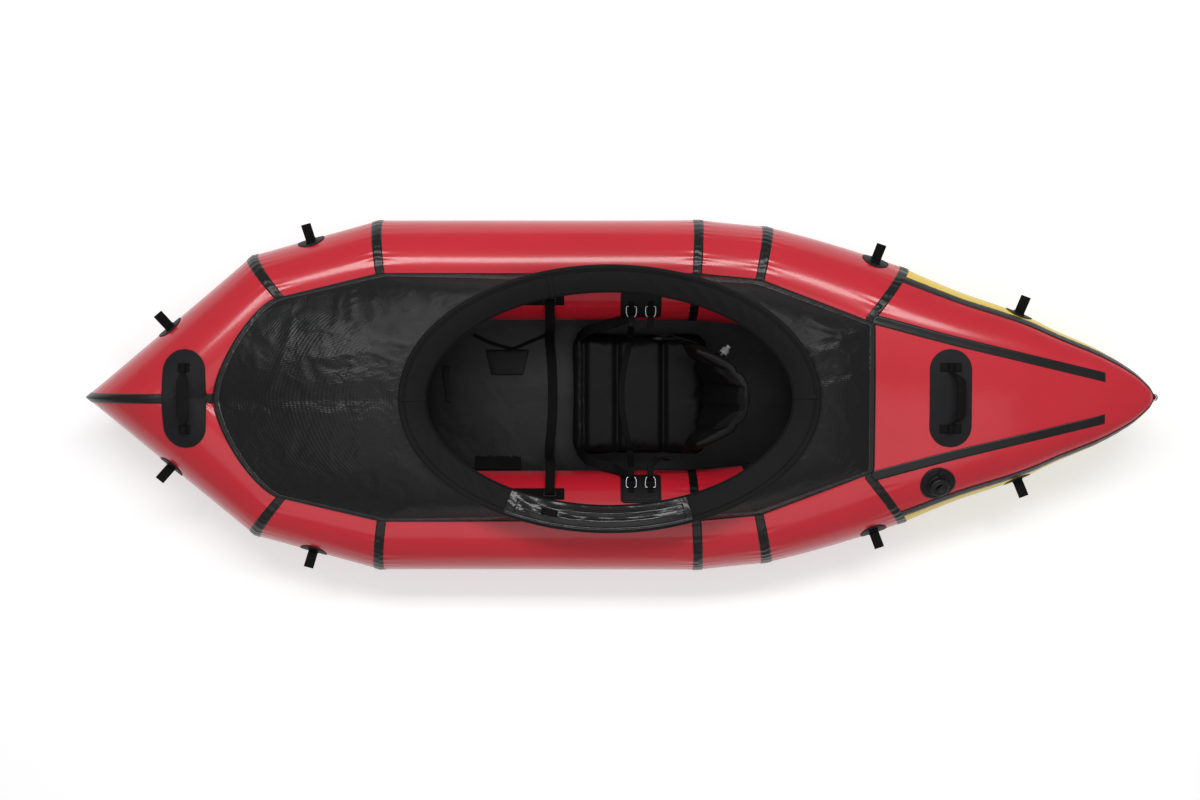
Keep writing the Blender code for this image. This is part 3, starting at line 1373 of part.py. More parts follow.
def disc_row(centre, u, v, radius, count, turn=0.0):
    """Gives a ring of points about a place, in the plane of two directions."""
    row = []
    for i in range(count):
        angle = turn + 2 * pi * i / count
        row.append(centre + u * (radius * cos(angle)) + v * (radius * sin(angle)))
    return row


def make_valve(tree, upper_skin, finishes):
    """Makes the filling valve on the stern: patch, threaded body, leash ring and ribbed cap."""
    point, out, up, along = tube_frame(stern_ring(0), stern_ring(1), VALVE_SHARE, VALVE_ANGLE, PORT)
    radii = (VALVE_HOLE_RADIUS + FIT, (VALVE_HOLE_RADIUS + VALVE_PATCH_RADIUS) / 2, VALVE_PATCH_RADIUS)
    low = []
    for radius in radii:
        row = disc_row(point, along, up, radius, VALVE_SIDES)
        low.append(row + [row[0].copy()])
    lay(tree, low, TAPE_STACK, out)
    for row in low:
        lift = max(out.dot(row[0]), out.dot(row[-1]))
        row[0] += out * (lift - out.dot(row[0]))
        row.pop()
    high = [[p + out * PLATE_THICK for p in row] for row in low]
    place("valve_patch", thin_solid(high, low, True), finishes["tape"])
    reach = [out.dot(p - point) for p in high[0] + high[1]]
    base = point + out * (max(reach) + FIT)
    ends = (point - out * VALVE_DEPTH * 2, point + out * VALVE_DEPTH)
    hole = rod_between(*ends, VALVE_HOLE_RADIUS, VALVE_SIDES)
    boolean(upper_skin, cutter("valve_hole", hole), "DIFFERENCE")
    body = [
        (VALVE_BORE, -VALVE_DEPTH),
        (VALVE_NECK_RADIUS, -VALVE_DEPTH),
        (VALVE_NECK_RADIUS, 0.0),
        (VALVE_COLLAR_RADIUS, 0.0),
        (VALVE_COLLAR_RADIUS, VALVE_COLLAR),
        (VALVE_THREAD_RADIUS, VALVE_COLLAR),
        (VALVE_THREAD_RADIUS, VALVE_COLLAR + VALVE_STAND),
        (VALVE_BORE, VALVE_COLLAR + VALVE_STAND),
    ]
    place("valve_body", turned(body, base, out, VALVE_SIDES), finishes["plastic"], base)
    bore = (VALVE_THREAD_RADIUS + FIT) / cos(pi / VALVE_SIDES)
    seat = base + out * (VALVE_COLLAR + FIT)
    rows = []
    for level in (LEASH_THICK, 0.0):
        inner = disc_row(seat + out * level, along, up, bore, VALVE_SIDES)
        outer = []
        for i, p in enumerate(disc_row(seat + out * level, along, up, LEASH_RADIUS, VALVE_SIDES)):
            away = (p - seat - out * level).normalized()
            outer.append(p + away * (LEASH_TAB if i in LEASH_TAB_SIDES else 0.0))
        rows.append([inner, outer])
    place("valve_leash_ring", thin_solid(rows[0], rows[1], True), finishes["plastic"], seat)
    make_cap(seat + out * (LEASH_THICK + FIT), out, up, along, bore, finishes["plastic"])


def make_cap(base, out, up, along, bore, finish):
    """Makes the valve's ribbed screw cap, hollow from below."""
    hollow = CAP_HEIGHT - CAP_ROOF
    dish = CAP_ROOF / 3
    count = CAP_RIBS * 3
    rim, well = (CAP_RADIUS * share for share in CAP_DISH_SHARES)
    plan = [
        (bore, hollow, False),
        (bore, 0.0, False),
        (CAP_RADIUS, 0.0, True),
        (CAP_RADIUS, CAP_HEIGHT - dish, True),
        (CAP_RADIUS - 2 * dish, CAP_HEIGHT, True),
        (rim, CAP_HEIGHT, False),
        (well, CAP_HEIGHT - dish, False),
    ]
    rows = []
    for radius, level, ribbed in plan:
        row = disc_row(base + out * level, along, up, radius, count)
        if ribbed:
            for i in range(0, count, 3):
                row[i] -= (row[i] - base - out * level).normalized() * CAP_RIB_DEPTH
        rows.append(row)
    place("valve_cap", capped_sweep(rows), finish, base)


def main():
    """Builds the whole packraft."""
    clear_scene()
    finishes = {
        "red": material("red_fabric", (0.52, 0.03, 0.045), 0.35),
        "yellow": material("yellow_fabric", (0.90, 0.62, 0.03), 0.35),
        "black": material("black_fabric", (0.015, 0.015, 0.016), 0.55),
        "tape": material("black_tape", (0.012, 0.012, 0.013), 0.30),
        "webbing": material("black_webbing", (0.010, 0.010, 0.011), 0.80),
        "plastic": material("black_plastic", (0.014, 0.014, 0.015), 0.40),
        "rod": material("rod_plastic", (0.35, 0.35, 0.33), 0.40),
        "steel": material("ring_steel", (0.62, 0.62, 0.63), 0.25, 1.0),
    }
    upper_skin = make_hull(finishes)
    make_tapes(finishes["tape"])
    make_floor(finishes["black"])
    tree = hull_tree()
    make_deck(tree, finishes["black"])
    make_coaming(finishes["black"], finishes["rod"])
    make_seat(finishes)
    make_rings(finishes)
    make_anchors(finishes["webbing"])
    handles = (
        ("bow", BOW_HANDLE_X, BOW_HANDLE_LEAN, BOW_PATCH_CLEAR),
        ("stern", STERN_HANDLE_X, STERN_HANDLE_LEAN, STERN_PATCH_CLEAR),
    )
    for spot, x, lean, clear in handles:
        patch_tree = make_patch(spot + "_handle_patch", tree, x, clear, finishes["tape"])
        make_handle(spot + "_handle", patch_tree, x, lean, finishes["webbing"])
    make_loops(finishes["webbing"])
    make_back_straps(finishes["webbing"])
    make_cross_strap(finishes["webbing"])
    make_front_strap(finishes["webbing"])
    make_valve(tree, upper_skin, finishes)


main()
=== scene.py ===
# %% [markdown]
# # A decked packraft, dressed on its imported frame
# The frame holds the boat's real sizes and its moving bodies. Each soft skin is modelled again here,
# finer than its plain solid, and stands in the same place. The plan is: sizes, finishes, camera and
# light, air hull, tapes, deck and coaming, handles, seat, rings and straps, and the valve.

# %% Load the frame
import json
from math import atan2, cos, exp, hypot, pi, radians, sin, sqrt

import bmesh
import bpy
from mathutils import Matrix, Vector, noise
from mathutils.bvhtree import BVHTree
from mathutils.kdtree import KDTree

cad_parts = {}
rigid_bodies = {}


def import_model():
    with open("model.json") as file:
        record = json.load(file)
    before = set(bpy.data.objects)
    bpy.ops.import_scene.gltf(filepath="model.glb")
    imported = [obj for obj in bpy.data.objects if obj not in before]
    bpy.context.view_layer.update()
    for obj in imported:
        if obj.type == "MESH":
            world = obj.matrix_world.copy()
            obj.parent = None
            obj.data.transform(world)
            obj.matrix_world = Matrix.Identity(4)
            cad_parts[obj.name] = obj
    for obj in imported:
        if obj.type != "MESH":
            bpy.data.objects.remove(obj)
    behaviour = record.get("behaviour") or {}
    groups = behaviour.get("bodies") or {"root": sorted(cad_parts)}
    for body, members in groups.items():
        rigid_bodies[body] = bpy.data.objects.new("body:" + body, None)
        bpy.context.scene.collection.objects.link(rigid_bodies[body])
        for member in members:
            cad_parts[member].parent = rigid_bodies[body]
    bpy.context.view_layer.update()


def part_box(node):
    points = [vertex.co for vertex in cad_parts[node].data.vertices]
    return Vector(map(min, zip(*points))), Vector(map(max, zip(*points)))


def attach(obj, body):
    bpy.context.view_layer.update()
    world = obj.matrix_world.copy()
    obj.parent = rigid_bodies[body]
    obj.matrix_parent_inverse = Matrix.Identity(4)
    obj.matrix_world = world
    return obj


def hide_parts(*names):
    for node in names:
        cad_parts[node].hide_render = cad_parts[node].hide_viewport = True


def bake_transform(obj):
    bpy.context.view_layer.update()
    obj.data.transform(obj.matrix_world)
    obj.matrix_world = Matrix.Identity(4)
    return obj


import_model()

# %% [markdown]
# ## Sizes
# These are the boat's driving sizes in metres. The air hull is a chain of tapered fabric sleeves
# between slanted seam rings, so a few rings say all of its shape. The stern's table gives, at shares
# of its run, how far apart its crests are, its skew, its reach, its height and how far it rises.

# %% Driving sizes
BEAM = 0.928
RADIUS = 0.132
RUNS = {"bow": 0.308, "front": 0.263, "side": 0.818, "rear": 0.163, "quarter": 0.279, "stern": 0.740}
SIDE_Y = BEAM / 2 - RADIUS
FRONT_Y = SIDE_Y - 0.064
REAR_Y = SIDE_Y - 0.016
QUARTER_Y = REAR_Y - 0.113
BOW_REACH = RADIUS / sin(atan2(FRONT_Y, RUNS["bow"]))
STERN_TABLE = (
    (0.000, 1.000, 1.000, 1.000, 1.000, 0.00),
    (0.270, 0.737, 0.450, 0.950, 0.978, 0.14),
    (0.527, 0.512, 0.000, 0.910, 0.904, 0.30),
    (0.676, 0.382, 0.000, 0.711, 0.778, 0.46),
    (0.815, 0.260, 0.000, 0.534, 0.622, 0.66),
    (0.920, 0.167, 0.000, 0.301, 0.407, 0.82),
    (0.980, 0.060, 0.000, 0.150, 0.207, 0.95),
    (1.000, 0.015, 0.000, 0.045, 0.060, 1.00),
)
REACH = 0.133
STERN_HALF = 0.135
STERN_RISE = 0.096
STERN_SKEW = 0.110
TAPE = 0.024
NOSE = BOW_REACH * (1 + 0.0014 / RADIUS)
TIP = REACH * 0.045 + 0.0014
BOW_X = NOSE - (NOSE + sum(RUNS.values()) + TIP) / 2
FRONT_X = BOW_X + RUNS["bow"]
SIDE_X = FRONT_X + RUNS["front"]
AFT_X = SIDE_X + RUNS["side"]
REAR_X = AFT_X + RUNS["rear"]
QUARTER_X = REAR_X + RUNS["quarter"]
AXIS_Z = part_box("side_tube_port")[0][2] + RADIUS
STERN_Z = AXIS_Z - RADIUS + STERN_HALF + 0.012
SPLIT = radians(38.0)
UP = Vector((0, 0, 1))
print("bow ring, stern joint and tube axis at", [round(c, 4) for c in (BOW_X, QUARTER_X, AXIS_Z)])

# %% [markdown]
# ## Node groups for coated cloth
# Packraft cloth is nylon with a thin plastic coat. From near by it shows a fine woven grid, soft
# mottling and long wrinkles. All cloths share one group, which gives a colour, a roughness and a
# normal, and each material keeps its own shader.


# %% Helpers for node trees
def group_socket(group, name, kind, value, output=False):
    """Adds one socket to a node group."""
    way = "OUTPUT" if output else "INPUT"
    socket = group.interface.new_socket(name, in_out=way, socket_type="NodeSocket" + kind)
    if value is not None:
        socket.default_value = value


def link(tree, *pairs):
    """Links node sockets, each pair as from, to."""
    for source, target in pairs:
        tree.links.new(source, target)


def math_node(tree, operation, a, b=None):
    """Adds a math node on sockets or numbers, and gives its result."""
    node = tree.nodes.new("ShaderNodeMath")
    node.operation = operation
    for slot, value in enumerate((a, b)):
        if value is None:
            continue
        if isinstance(value, (int, float)):
            node.inputs[slot].default_value = value
        else:
            tree.links.new(value, node.inputs[slot])
    return node.outputs[0]


print("node helpers ready")

# %% [markdown]
# The group mixes two tints by a soft noise, and the same noise sets the roughness. Two wave textures
# across each other give the threads, and a coarse noise gives the wrinkles.

# %% Group for coated cloth


def build_cloth_group():
    """Builds the group for coated cloth: weave, mottling and wrinkles over the surface."""
    group = bpy.data.node_groups.new("coated cloth", "ShaderNodeTree")
    for name, kind, value in (
        ("Place", "Vector", None),
        ("Cloth Place", "Vector", None),
        ("Light Tint", "Color", (1, 1, 1, 1)),
        ("Dark Tint", "Color", (0.8, 0.8, 0.8, 1)),
        ("Threads", "Float", 400.0),
        ("Thread Depth", "Float", 0.1),
        ("Wrinkles", "Float", 6.0),
        ("Wrinkle Depth", "Float", 0.2),
        ("Smooth", "Float", 0.3),
        ("Rough", "Float", 0.5),
    ):
        group_socket(group, name, kind, value)
    for name, kind in (("Color", "Color"), ("Roughness", "Float"), ("Normal", "Vector")):
        group_socket(group, name, kind, None, True)
    nodes = group.nodes
    gate = nodes.new("NodeGroupInput").outputs
    result = nodes.new("NodeGroupOutput").inputs
    mottle = nodes.new("ShaderNodeTexNoise")
    mottle.inputs["Scale"].default_value = 7.0
    mottle.inputs["Detail"].default_value = 5.0
    tint = nodes.new("ShaderNodeMix")
    tint.data_type = "RGBA"
    sheen = nodes.new("ShaderNodeMapRange")
    warp = nodes.new("ShaderNodeTexWave")
    weft = nodes.new("ShaderNodeTexWave")
    warp.bands_direction = "X"
    weft.bands_direction = "Y"
    crease = nodes.new("ShaderNodeTexNoise")
    crease.inputs["Detail"].default_value = 3.0
    crease.inputs["Distortion"].default_value = 0.6
    fine = nodes.new("ShaderNodeBump")
    coarse = nodes.new("ShaderNodeBump")
    fine.inputs["Distance"].default_value = 0.0004
    coarse.inputs["Distance"].default_value = 0.006
    link(
        group,
        (gate["Place"], mottle.inputs["Vector"]),
        (mottle.outputs["Fac"], tint.inputs["Factor"]),
        (gate["Light Tint"], tint.inputs["A"]),
        (gate["Dark Tint"], tint.inputs["B"]),
        (tint.outputs["Result"], result["Color"]),
        (mottle.outputs["Fac"], sheen.inputs["Value"]),
        (gate["Smooth"], sheen.inputs["To Min"]),
        (gate["Rough"], sheen.inputs["To Max"]),
        (sheen.outputs["Result"], result["Roughness"]),
        (gate["Cloth Place"], warp.inputs["Vector"]),
        (gate["Cloth Place"], weft.inputs["Vector"]),
        (gate["Threads"], warp.inputs["Scale"]),
        (gate["Threads"], weft.inputs["Scale"]),
        (gate["Place"], crease.inputs["Vector"]),
        (gate["Wrinkles"], crease.inputs["Scale"]),
        (gate["Thread Depth"], fine.inputs["Strength"]),
        (gate["Wrinkle Depth"], coarse.inputs["Strength"]),
        (crease.outputs["Fac"], coarse.inputs["Height"]),
        (coarse.outputs["Normal"], fine.inputs["Normal"]),
        (fine.outputs["Normal"], result["Normal"]),
    )
    threads = math_node(group, "ADD", warp.outputs["Fac"], weft.outputs["Fac"])
    link(group, (threads, fine.inputs["Height"]))
    return group


cloth_group = build_cloth_group()
print("group:", cloth_group.name, "with", len(cloth_group.nodes), "nodes")

# %% [markdown]
# ## Finishes
# Each finish mixes two near tints, so that no face is one flat colour. One maker serves all cloths,
# and another one serves moulded plastic and metal.


# %% Makers of finishes
def fresh_material(name, metallic=0.0):
    """Makes a material, and gives it with its tree and shader."""
    made = bpy.data.materials.new(name)
    made.use_nodes = True
    shader = made.node_tree.nodes["Principled BSDF"]
    shader.inputs["Metallic"].default_value = metallic
    return made, made.node_tree, shader


def cloth(name, light, dark, sheen, weave, creases, level, coat=0.0):
    """Makes a coated cloth: least and most roughness, threads and creases each as size and depth."""
    made, tree, shader = fresh_material(name)
    face = tree.nodes.new("ShaderNodeGroup")
    face.node_tree = cloth_group
    spots = tree.nodes.new("ShaderNodeTexCoord")
    values = {
        "Light Tint": (*light, 1),
        "Dark Tint": (*dark, 1),
        "Threads": weave[0],
        "Thread Depth": weave[1],
        "Wrinkles": creases[0],
        "Wrinkle Depth": creases[1],
        "Smooth": sheen[0],
        "Rough": sheen[1],
    }
    for socket, value in values.items():
        face.inputs[socket].default_value = value
    shader.inputs["Specular IOR Level"].default_value = level
    shader.inputs["Coat Weight"].default_value = coat
    shader.inputs["Coat Roughness"].default_value = 0.16
    link(
        tree,
        (spots.outputs["Object"], face.inputs["Place"]),
        (spots.outputs["UV"], face.inputs["Cloth Place"]),
        (face.outputs["Color"], shader.inputs["Base Color"]),
        (face.outputs["Roughness"], shader.inputs["Roughness"]),
        (face.outputs["Normal"], shader.inputs["Normal"]),
    )
    return made


def moulded(name, light, dark, roughness, metallic=0.0, grain=900.0, depth=0.15, level=0.5):
    """Makes a moulded plastic or a metal with a fine grain in its colour, roughness and relief."""
    made, tree, shader = fresh_material(name, metallic)
    shader.inputs["Specular IOR Level"].default_value = level
    spots = tree.nodes.new("ShaderNodeTexCoord")
    speck = tree.nodes.new("ShaderNodeTexNoise")
    speck.inputs["Scale"].default_value = grain
    speck.inputs["Detail"].default_value = 3.0
    tint = tree.nodes.new("ShaderNodeMix")
    tint.data_type = "RGBA"
    tint.inputs["A"].default_value = (*light, 1)
    tint.inputs["B"].default_value = (*dark, 1)
    sheen = tree.nodes.new("ShaderNodeMapRange")
    sheen.inputs["To Min"].default_value = roughness * 0.8
    sheen.inputs["To Max"].default_value = roughness * 1.25
    bump = tree.nodes.new("ShaderNodeBump")
    bump.inputs["Strength"].default_value = depth
    bump.inputs["Distance"].default_value = 0.0003
    link(
        tree,
        (spots.outputs["Object"], speck.inputs["Vector"]),
        (speck.outputs["Fac"], tint.inputs["Factor"]),
        (tint.outputs["Result"], shader.inputs["Base Color"]),
        (speck.outputs["Fac"], sheen.inputs["Value"]),
        (sheen.outputs["Result"], shader.inputs["Roughness"]),
        (speck.outputs["Fac"], bump.inputs["Height"]),
        (bump.outputs["Normal"], shader.inputs["Normal"]),
    )
    return made


def black(light, dark):
    """Gives a near-black tint pair from two grey levels."""
    return (light,) * 3, (dark,) * 3


print("makers of finishes ready")

# %% [markdown]
# The red and the yellow are satin, the deck is glossier on its welded rim, and webbing is matt with
# cross ribs. The blacks differ a little, because each is another cloth.

# %% Finishes of the boat
red = cloth(
    "red coated nylon",
    (0.57, 0.017, 0.032), (0.48, 0.011, 0.023), (0.28, 0.40), (300.0, 0.06), (5.0, 0.10), 0.15, 0.7,
)
yellow = cloth(
    "yellow coated nylon",
    (0.86, 0.60, 0.02), (0.78, 0.52, 0.01), (0.34, 0.46), (300.0, 0.06), (5.0, 0.10), 0.15, 0.5,
)
deck_cloth = cloth(
    "black deck cloth", (0.008, 0.008, 0.009), (0.005,) * 3, (0.15, 0.34), (55.0, 0.45), (17.0, 0.60), 0.24
)
rim_cloth = cloth("matt coaming cloth", *black(0.009, 0.006), (0.50, 0.68), (260.0, 0.30), (18.0, 0.25), 0.10)
floor_cloth = cloth(
    "black floor cloth",
    (0.006, 0.006, 0.007), (0.003, 0.003, 0.004), (0.24, 0.42), (220.0, 0.20), (7.0, 0.55), 0.26,
)
seat_cloth = cloth("black seat nylon", *black(0.006, 0.003), (0.42, 0.60), (320.0, 0.30), (14.0, 0.30), 0.12)
rim_film = cloth("glossy coaming film", *black(0.006, 0.004), (0.14, 0.28), (120.0, 0.05), (24.0, 0.35), 0.35)
tape_film = cloth(
    "black seam tape", (0.007, 0.006, 0.006), (0.004,) * 3, (0.24, 0.36), (180.0, 0.05), (25.0, 0.12), 0.34
)
patch_cloth = cloth(
    "black patch cloth",
    (0.012, 0.012, 0.014), (0.008, 0.008, 0.009), (0.42, 0.58), (240.0, 0.25), (12.0, 0.15), 0.14,
)
webbing = cloth("black webbing", *black(0.007, 0.003), (0.60, 0.80), (150.0, 0.9), (30.0, 0.15), 0.10)
plastic = moulded("black moulded plastic", *black(0.008, 0.005), 0.36, level=0.3)
steel = moulded(
    "bright ring steel", (0.42, 0.42, 0.43), (0.32, 0.32, 0.33), 0.26, 1.0, grain=400.0, depth=0.05
)
print("finishes:", len(bpy.data.materials))

# %% [markdown]
# ## Camera, floor and light
# The boat is seen from almost straight above, a little from its starboard side, with a 50 mm lens. A
# large soft panel above and behind the starboard side gives the long highlight on the near tubes and
# the soft shadow under the other side. The floor is white to the camera and keeps the shadow.

# %% Camera
TILT = radians(2.6)
TARGET = Vector((-0.0495, -0.012, 0.135))
DISTANCE = 4.43
camera = bpy.data.objects.new("camera", bpy.data.cameras.new("camera"))
camera.data.lens = 50.0
camera.data.sensor_width = 36.0
camera.location = TARGET + Vector((0, sin(TILT), cos(TILT))) * DISTANCE
camera.rotation_euler = (-TILT, 0, 0)
bpy.context.scene.collection.objects.link(camera)
bpy.context.scene.camera = camera
bpy.context.scene.view_settings.view_transform = "Standard"
print("camera at", tuple(round(c, 3) for c in camera.location))

# %% Floor and light
FLOOR_LEVEL = -0.0008
FLOOR_GLOW = 0.41


def make_floor_plane():
    """Makes the studio floor: white to the camera, with the boat's shadow kept."""
    shape = bmesh.new()
    bmesh.ops.create_grid(shape, x_segments=1, y_segments=1, size=30.0)
    bmesh.ops.translate(shape, vec=(0, 0, FLOOR_LEVEL), verts=shape.verts)
    mesh = bpy.data.meshes.new("studio_floor")
    shape.to_mesh(mesh)
    shape.free()
    made, tree, shader = fresh_material("studio floor white")
    shader.inputs["Base Color"].default_value = (0.74, 0.74, 0.74, 1)
    shader.inputs["Roughness"].default_value = 0.9
    shader.inputs["Specular IOR Level"].default_value = 0.0
    path = tree.nodes.new("ShaderNodeLightPath")
    seen = math_node(tree, "MAXIMUM", path.outputs["Is Camera Ray"], path.outputs["Is Glossy Ray"])
    seen = math_node(tree, "MAXIMUM", seen, path.outputs["Is Transmission Ray"])
    shader.inputs["Emission Color"].default_value = (1, 1, 1, 1)
    link(tree, (math_node(tree, "MULTIPLY", seen, FLOOR_GLOW), shader.inputs["Emission Strength"]))
    mesh.materials.append(made)
    piece = bpy.data.objects.new("studio_floor", mesh)
    bpy.context.scene.collection.objects.link(piece)


def soft_panel(name, size, place, aim, power):
    """Makes a soft square light that looks at a point."""
    lamp = bpy.data.lights.new(name, "AREA")
    lamp.shape = "RECTANGLE"
    lamp.size, lamp.size_y = size
    lamp.energy = power
    panel = bpy.data.objects.new(name, lamp)
    panel.location = place
    panel.rotation_euler = (Vector(aim) - Vector(place)).to_track_quat("-Z", "Y").to_euler()
    bpy.context.scene.collection.objects.link(panel)


make_floor_plane()
soft_panel("key", (3.6, 0.7), (0.0, 1.75, 3.6), (0, 0, 0.1), 92)
soft_panel("fill", (4.0, 3.0), (0.0, -1.5, 4.4), (0, 0, 0), 31)
world = bpy.data.worlds.new("studio")
bpy.context.scene.world = world
world.use_nodes = True
sky = world.node_tree.nodes["Background"].inputs
sky["Color"].default_value = (1, 1, 1, 1)
sky["Strength"].default_value = 0.42

# %% [markdown]
# ## Seam rings and the sleeves between them
# On the real boat each bend of the air hull is a slanted weld between two straight sleeves. A ring
# is kept as its middle, its outer and inner reach and its height, and two rings mix into any place
# on the sleeve between them. The starboard half is worked out, and port is its mirror image.

# %% Rings of the air hull


def seam_ring(x, y, z, turn):
    """Gives a round tube's slanted seam ring."""
    reach = Vector((sin(radians(turn)), cos(radians(turn)), 0)) * RADIUS
    return (Vector((x, y, z)), reach, reach, RADIUS)


def stern_ring(run):
    """Gives the stern lobe's ring at a share of the stern's run, on a smooth line through the table."""
    last = len(STERN_TABLE) - 1
    index = min(max(i for i, row in enumerate(STERN_TABLE) if row[0] <= run), last - 1)
    before, start = STERN_TABLE[max(index - 1, 0)], STERN_TABLE[index]
    end, after = STERN_TABLE[index + 1], STERN_TABLE[min(index + 2, last)]
    span = end[0] - start[0]
    t = (run - start[0]) / span
    values = []
    for column in range(1, 6):
        chord = (end[column] - start[column]) / span
        left = (end[column] - before[column]) / max(end[0] - before[0], 1e-6) if index else chord
        right = (after[column] - start[column]) / (after[0] - start[0]) if index < last - 1 else chord
        smooth = (2 * t**3 - 3 * t**2 + 1) * start[column] + (t**3 - 2 * t**2 + t) * left * span
        smooth += (3 * t**2 - 2 * t**3) * end[column] + (t**3 - t**2) * right * span
        values.append(max(smooth, min(start[column], end[column])))
    crest, skew, reach, height, lift = values
    middle = Vector((QUARTER_X + RUNS["stern"] * run, QUARTER_Y * crest, STERN_Z + STERN_RISE * lift))
    out = Vector((STERN_SKEW * skew, REACH * reach, 0))
    inn = Vector((0, min(middle.y, REACH * reach) * 0.83, 0))
    return (middle, out, inn, STERN_HALF * height)


def mix_rings(a, b, share):
    """Gives the ring at a share of the way between two rings."""
    return tuple(first + (second - first) * share for first, second in zip(a, b))


def ring_point(ring, angle, lift=0.0):
    """Gives a ring's point at an angle above its outer side, lifted off the skin."""
    middle, out, inn, up = ring
    level = out if cos(angle) > 0 else inn
    return middle + (level * cos(angle) + UP * (up * sin(angle))) * (1 + lift / up)


def mirrored(point, side):
    """Moves a starboard point to its side of the boat."""
    return Vector((point.x, point.y * side, point.z))


bow_reach = Vector((-BOW_REACH, 0, 0))
rings = {
    "bow": (Vector((BOW_X, 0, AXIS_Z + 0.075)), bow_reach, bow_reach, RADIUS),
    "front": seam_ring(FRONT_X, FRONT_Y, AXIS_Z + 0.015, -39.5),
    "side": seam_ring(SIDE_X, SIDE_Y, AXIS_Z, -7.0),
    "aft": seam_ring(AFT_X, SIDE_Y, AXIS_Z, 3.0),
    "rear": seam_ring(REAR_X, REAR_Y, AXIS_Z, 11.5),
    "stern": stern_ring(0.0),
}
sleeves = (("bow", "front"), ("front", "side"), ("side", "aft"), ("aft", "rear"), ("rear", "stern"))
print("rings:", ", ".join(rings))

# %% [markdown]
# ## Puckers at the seams
# Where two sleeves meet at an angle, the cloth has more edge than the weld can take flat, so it
# gathers into small ripples that run away from the seam and fade. A sine round the ring, faded by the
# distance from the seam and made uneven by noise, gives them.

# %% Skin of a sleeve
QUARTER_SWELL = 0.006


def pucker(angle, distance, seed, depth=0.0011, fade=0.030, count=42):
    """Gives the ripple's height near a seam."""
    if distance > fade * 5:
        return 0.0
    uneven = noise.noise(Vector((cos(angle) * 2.3, sin(angle) * 2.3, seed)))
    wave = sin(angle * count + 5.0 * uneven) * (0.55 + 0.75 * uneven)
    return depth * wave * exp(-distance / fade)


def sleeve_ring(pair, share):
    """Gives a sleeve's ring, which is pushed outward a little on the quarter tube."""
    ring = mix_rings(rings[pair[0]], rings[pair[1]], share)
    if pair[0] != "rear":
        return ring
    return (ring[0] + ring[1].normalized() * QUARTER_SWELL * 4 * share * (1 - share), *ring[1:])


def sleeve_point(pair, share, angle, side, lift=0.0):
    """Gives a place on a sleeve's skin, with its swell and its puckers."""
    ring = sleeve_ring(pair, share)
    length = (ring_point(rings[pair[1]], angle) - ring_point(rings[pair[0]], angle)).length
    seed = side * (3.0 + sleeves.index(pair))
    ripple = pucker(angle, length * share, seed) + pucker(angle, length * (1 - share), seed + 20.0)
    drift = noise.noise(Vector((ring[0].x * 3.0, cos(angle) * 1.5, sin(angle) * 1.5 + side))) * 0.0008
    return mirrored(ring_point(ring, angle, ripple + drift + lift), side)


print("sleeves on each side:", len(sleeves))

# %% [markdown]
# ## Cloth laid along a surface
# Nearly every piece is thin cloth that follows something. `create_grid` makes a flat grid with its own
# UVs, then each point moves to where the cloth lies. The UVs are kept in metres, so that the weave has
# one size on every piece. A Solidify modifier gives the cloth its thickness where an edge shows.

# %% Helpers for cloth


def finish_mesh(name, shape, finish, hint=None):
    """Makes an object of a bmesh, with its faces turned the way the hint points."""
    if hint is not None:
        faces = ((face.normal.dot(hint(face.calc_center_median())), face.calc_area()) for face in shape.faces)
        if sum(agrees * area for agrees, area in faces) < 0:
            bmesh.ops.reverse_faces(shape, faces=shape.faces)
    mesh = bpy.data.meshes.new(name)
    shape.to_mesh(mesh)
    shape.free()
    mesh.polygons.foreach_set("use_smooth", [True] * len(mesh.polygons))
    mesh.materials.append(finish)
    piece = bpy.data.objects.new(name, mesh)
    bpy.context.scene.collection.objects.link(piece)
    return piece


def laid_cloth(name, columns, rows, size, place, finish, hint, weld=True):
    """Makes a grid of cloth, and lays each of its points with the place function."""
    shape = bmesh.new()
    bmesh.ops.create_grid(shape, x_segments=columns, y_segments=rows, size=0.5, calc_uvs=True)
    layer = shape.loops.layers.uv.verify()
    for face in shape.faces:
        for loop in face.loops:
            loop[layer].uv = ((loop.vert.co.x + 0.5) * size[0], (loop.vert.co.y + 0.5) * size[1])
    for vert in shape.verts:
        vert.co = place(vert.co.x + 0.5, vert.co.y + 0.5)
    if weld:
        bmesh.ops.remove_doubles(shape, verts=shape.verts, dist=1e-5)
    bmesh.ops.dissolve_degenerate(shape, dist=1e-6, edges=shape.edges)
    shape.normal_update()
    return finish_mesh(name, shape, finish, hint)


def thicken(piece, thick, offset=1.0):
    """Gives a piece of cloth its thickness, outward from where it was laid."""
    wall = piece.modifiers.new("wall", "SOLIDIFY")
    wall.thickness = thick
    wall.offset = offset
    wall.use_even_offset = False
    return piece


print("cloth makers ready")

# %% [markdown]
# Each finished piece rides on one body of the frame. Where it stands for a
# plain solid, it says which one. A hint tells which way a piece's outer face points.

# %% Tying a piece to the frame


def put(piece, body, slot, *nodes):
    """Ties a finished piece to its body and hides the solids that it stands for; the slot is not used."""
    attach(piece, body)
    if nodes:
        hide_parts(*nodes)
    return piece


def tube_hint(point):
    """Points away from the middle line of the side tube nearest to a place."""
    side = 1 if point.y > 0 else -1
    for pair in sleeves:
        a, b = rings[pair[0]][0], rings[pair[1]][0]
        if a.x <= point.x <= b.x:
            middle = mirrored(a.lerp(b, (point.x - a.x) / (b.x - a.x)), side)
            return point - middle
    return Vector((point.x - BOW_X if point.x < BOW_X else 0, point.y - side * 0.1, point.z - AXIS_Z))


def upward(point):
    """Points up."""
    return UP


sides = {"starboard": 1, "port": -1}
print("sides:", ", ".join(sides))

# %% [markdown]
# ## The air hull's sleeves
# Each sleeve is one grid, wrapped round its tube and welded along the closing line. It is made fine
# enough along the seams for the puckers, so rows lie closer near both ends.

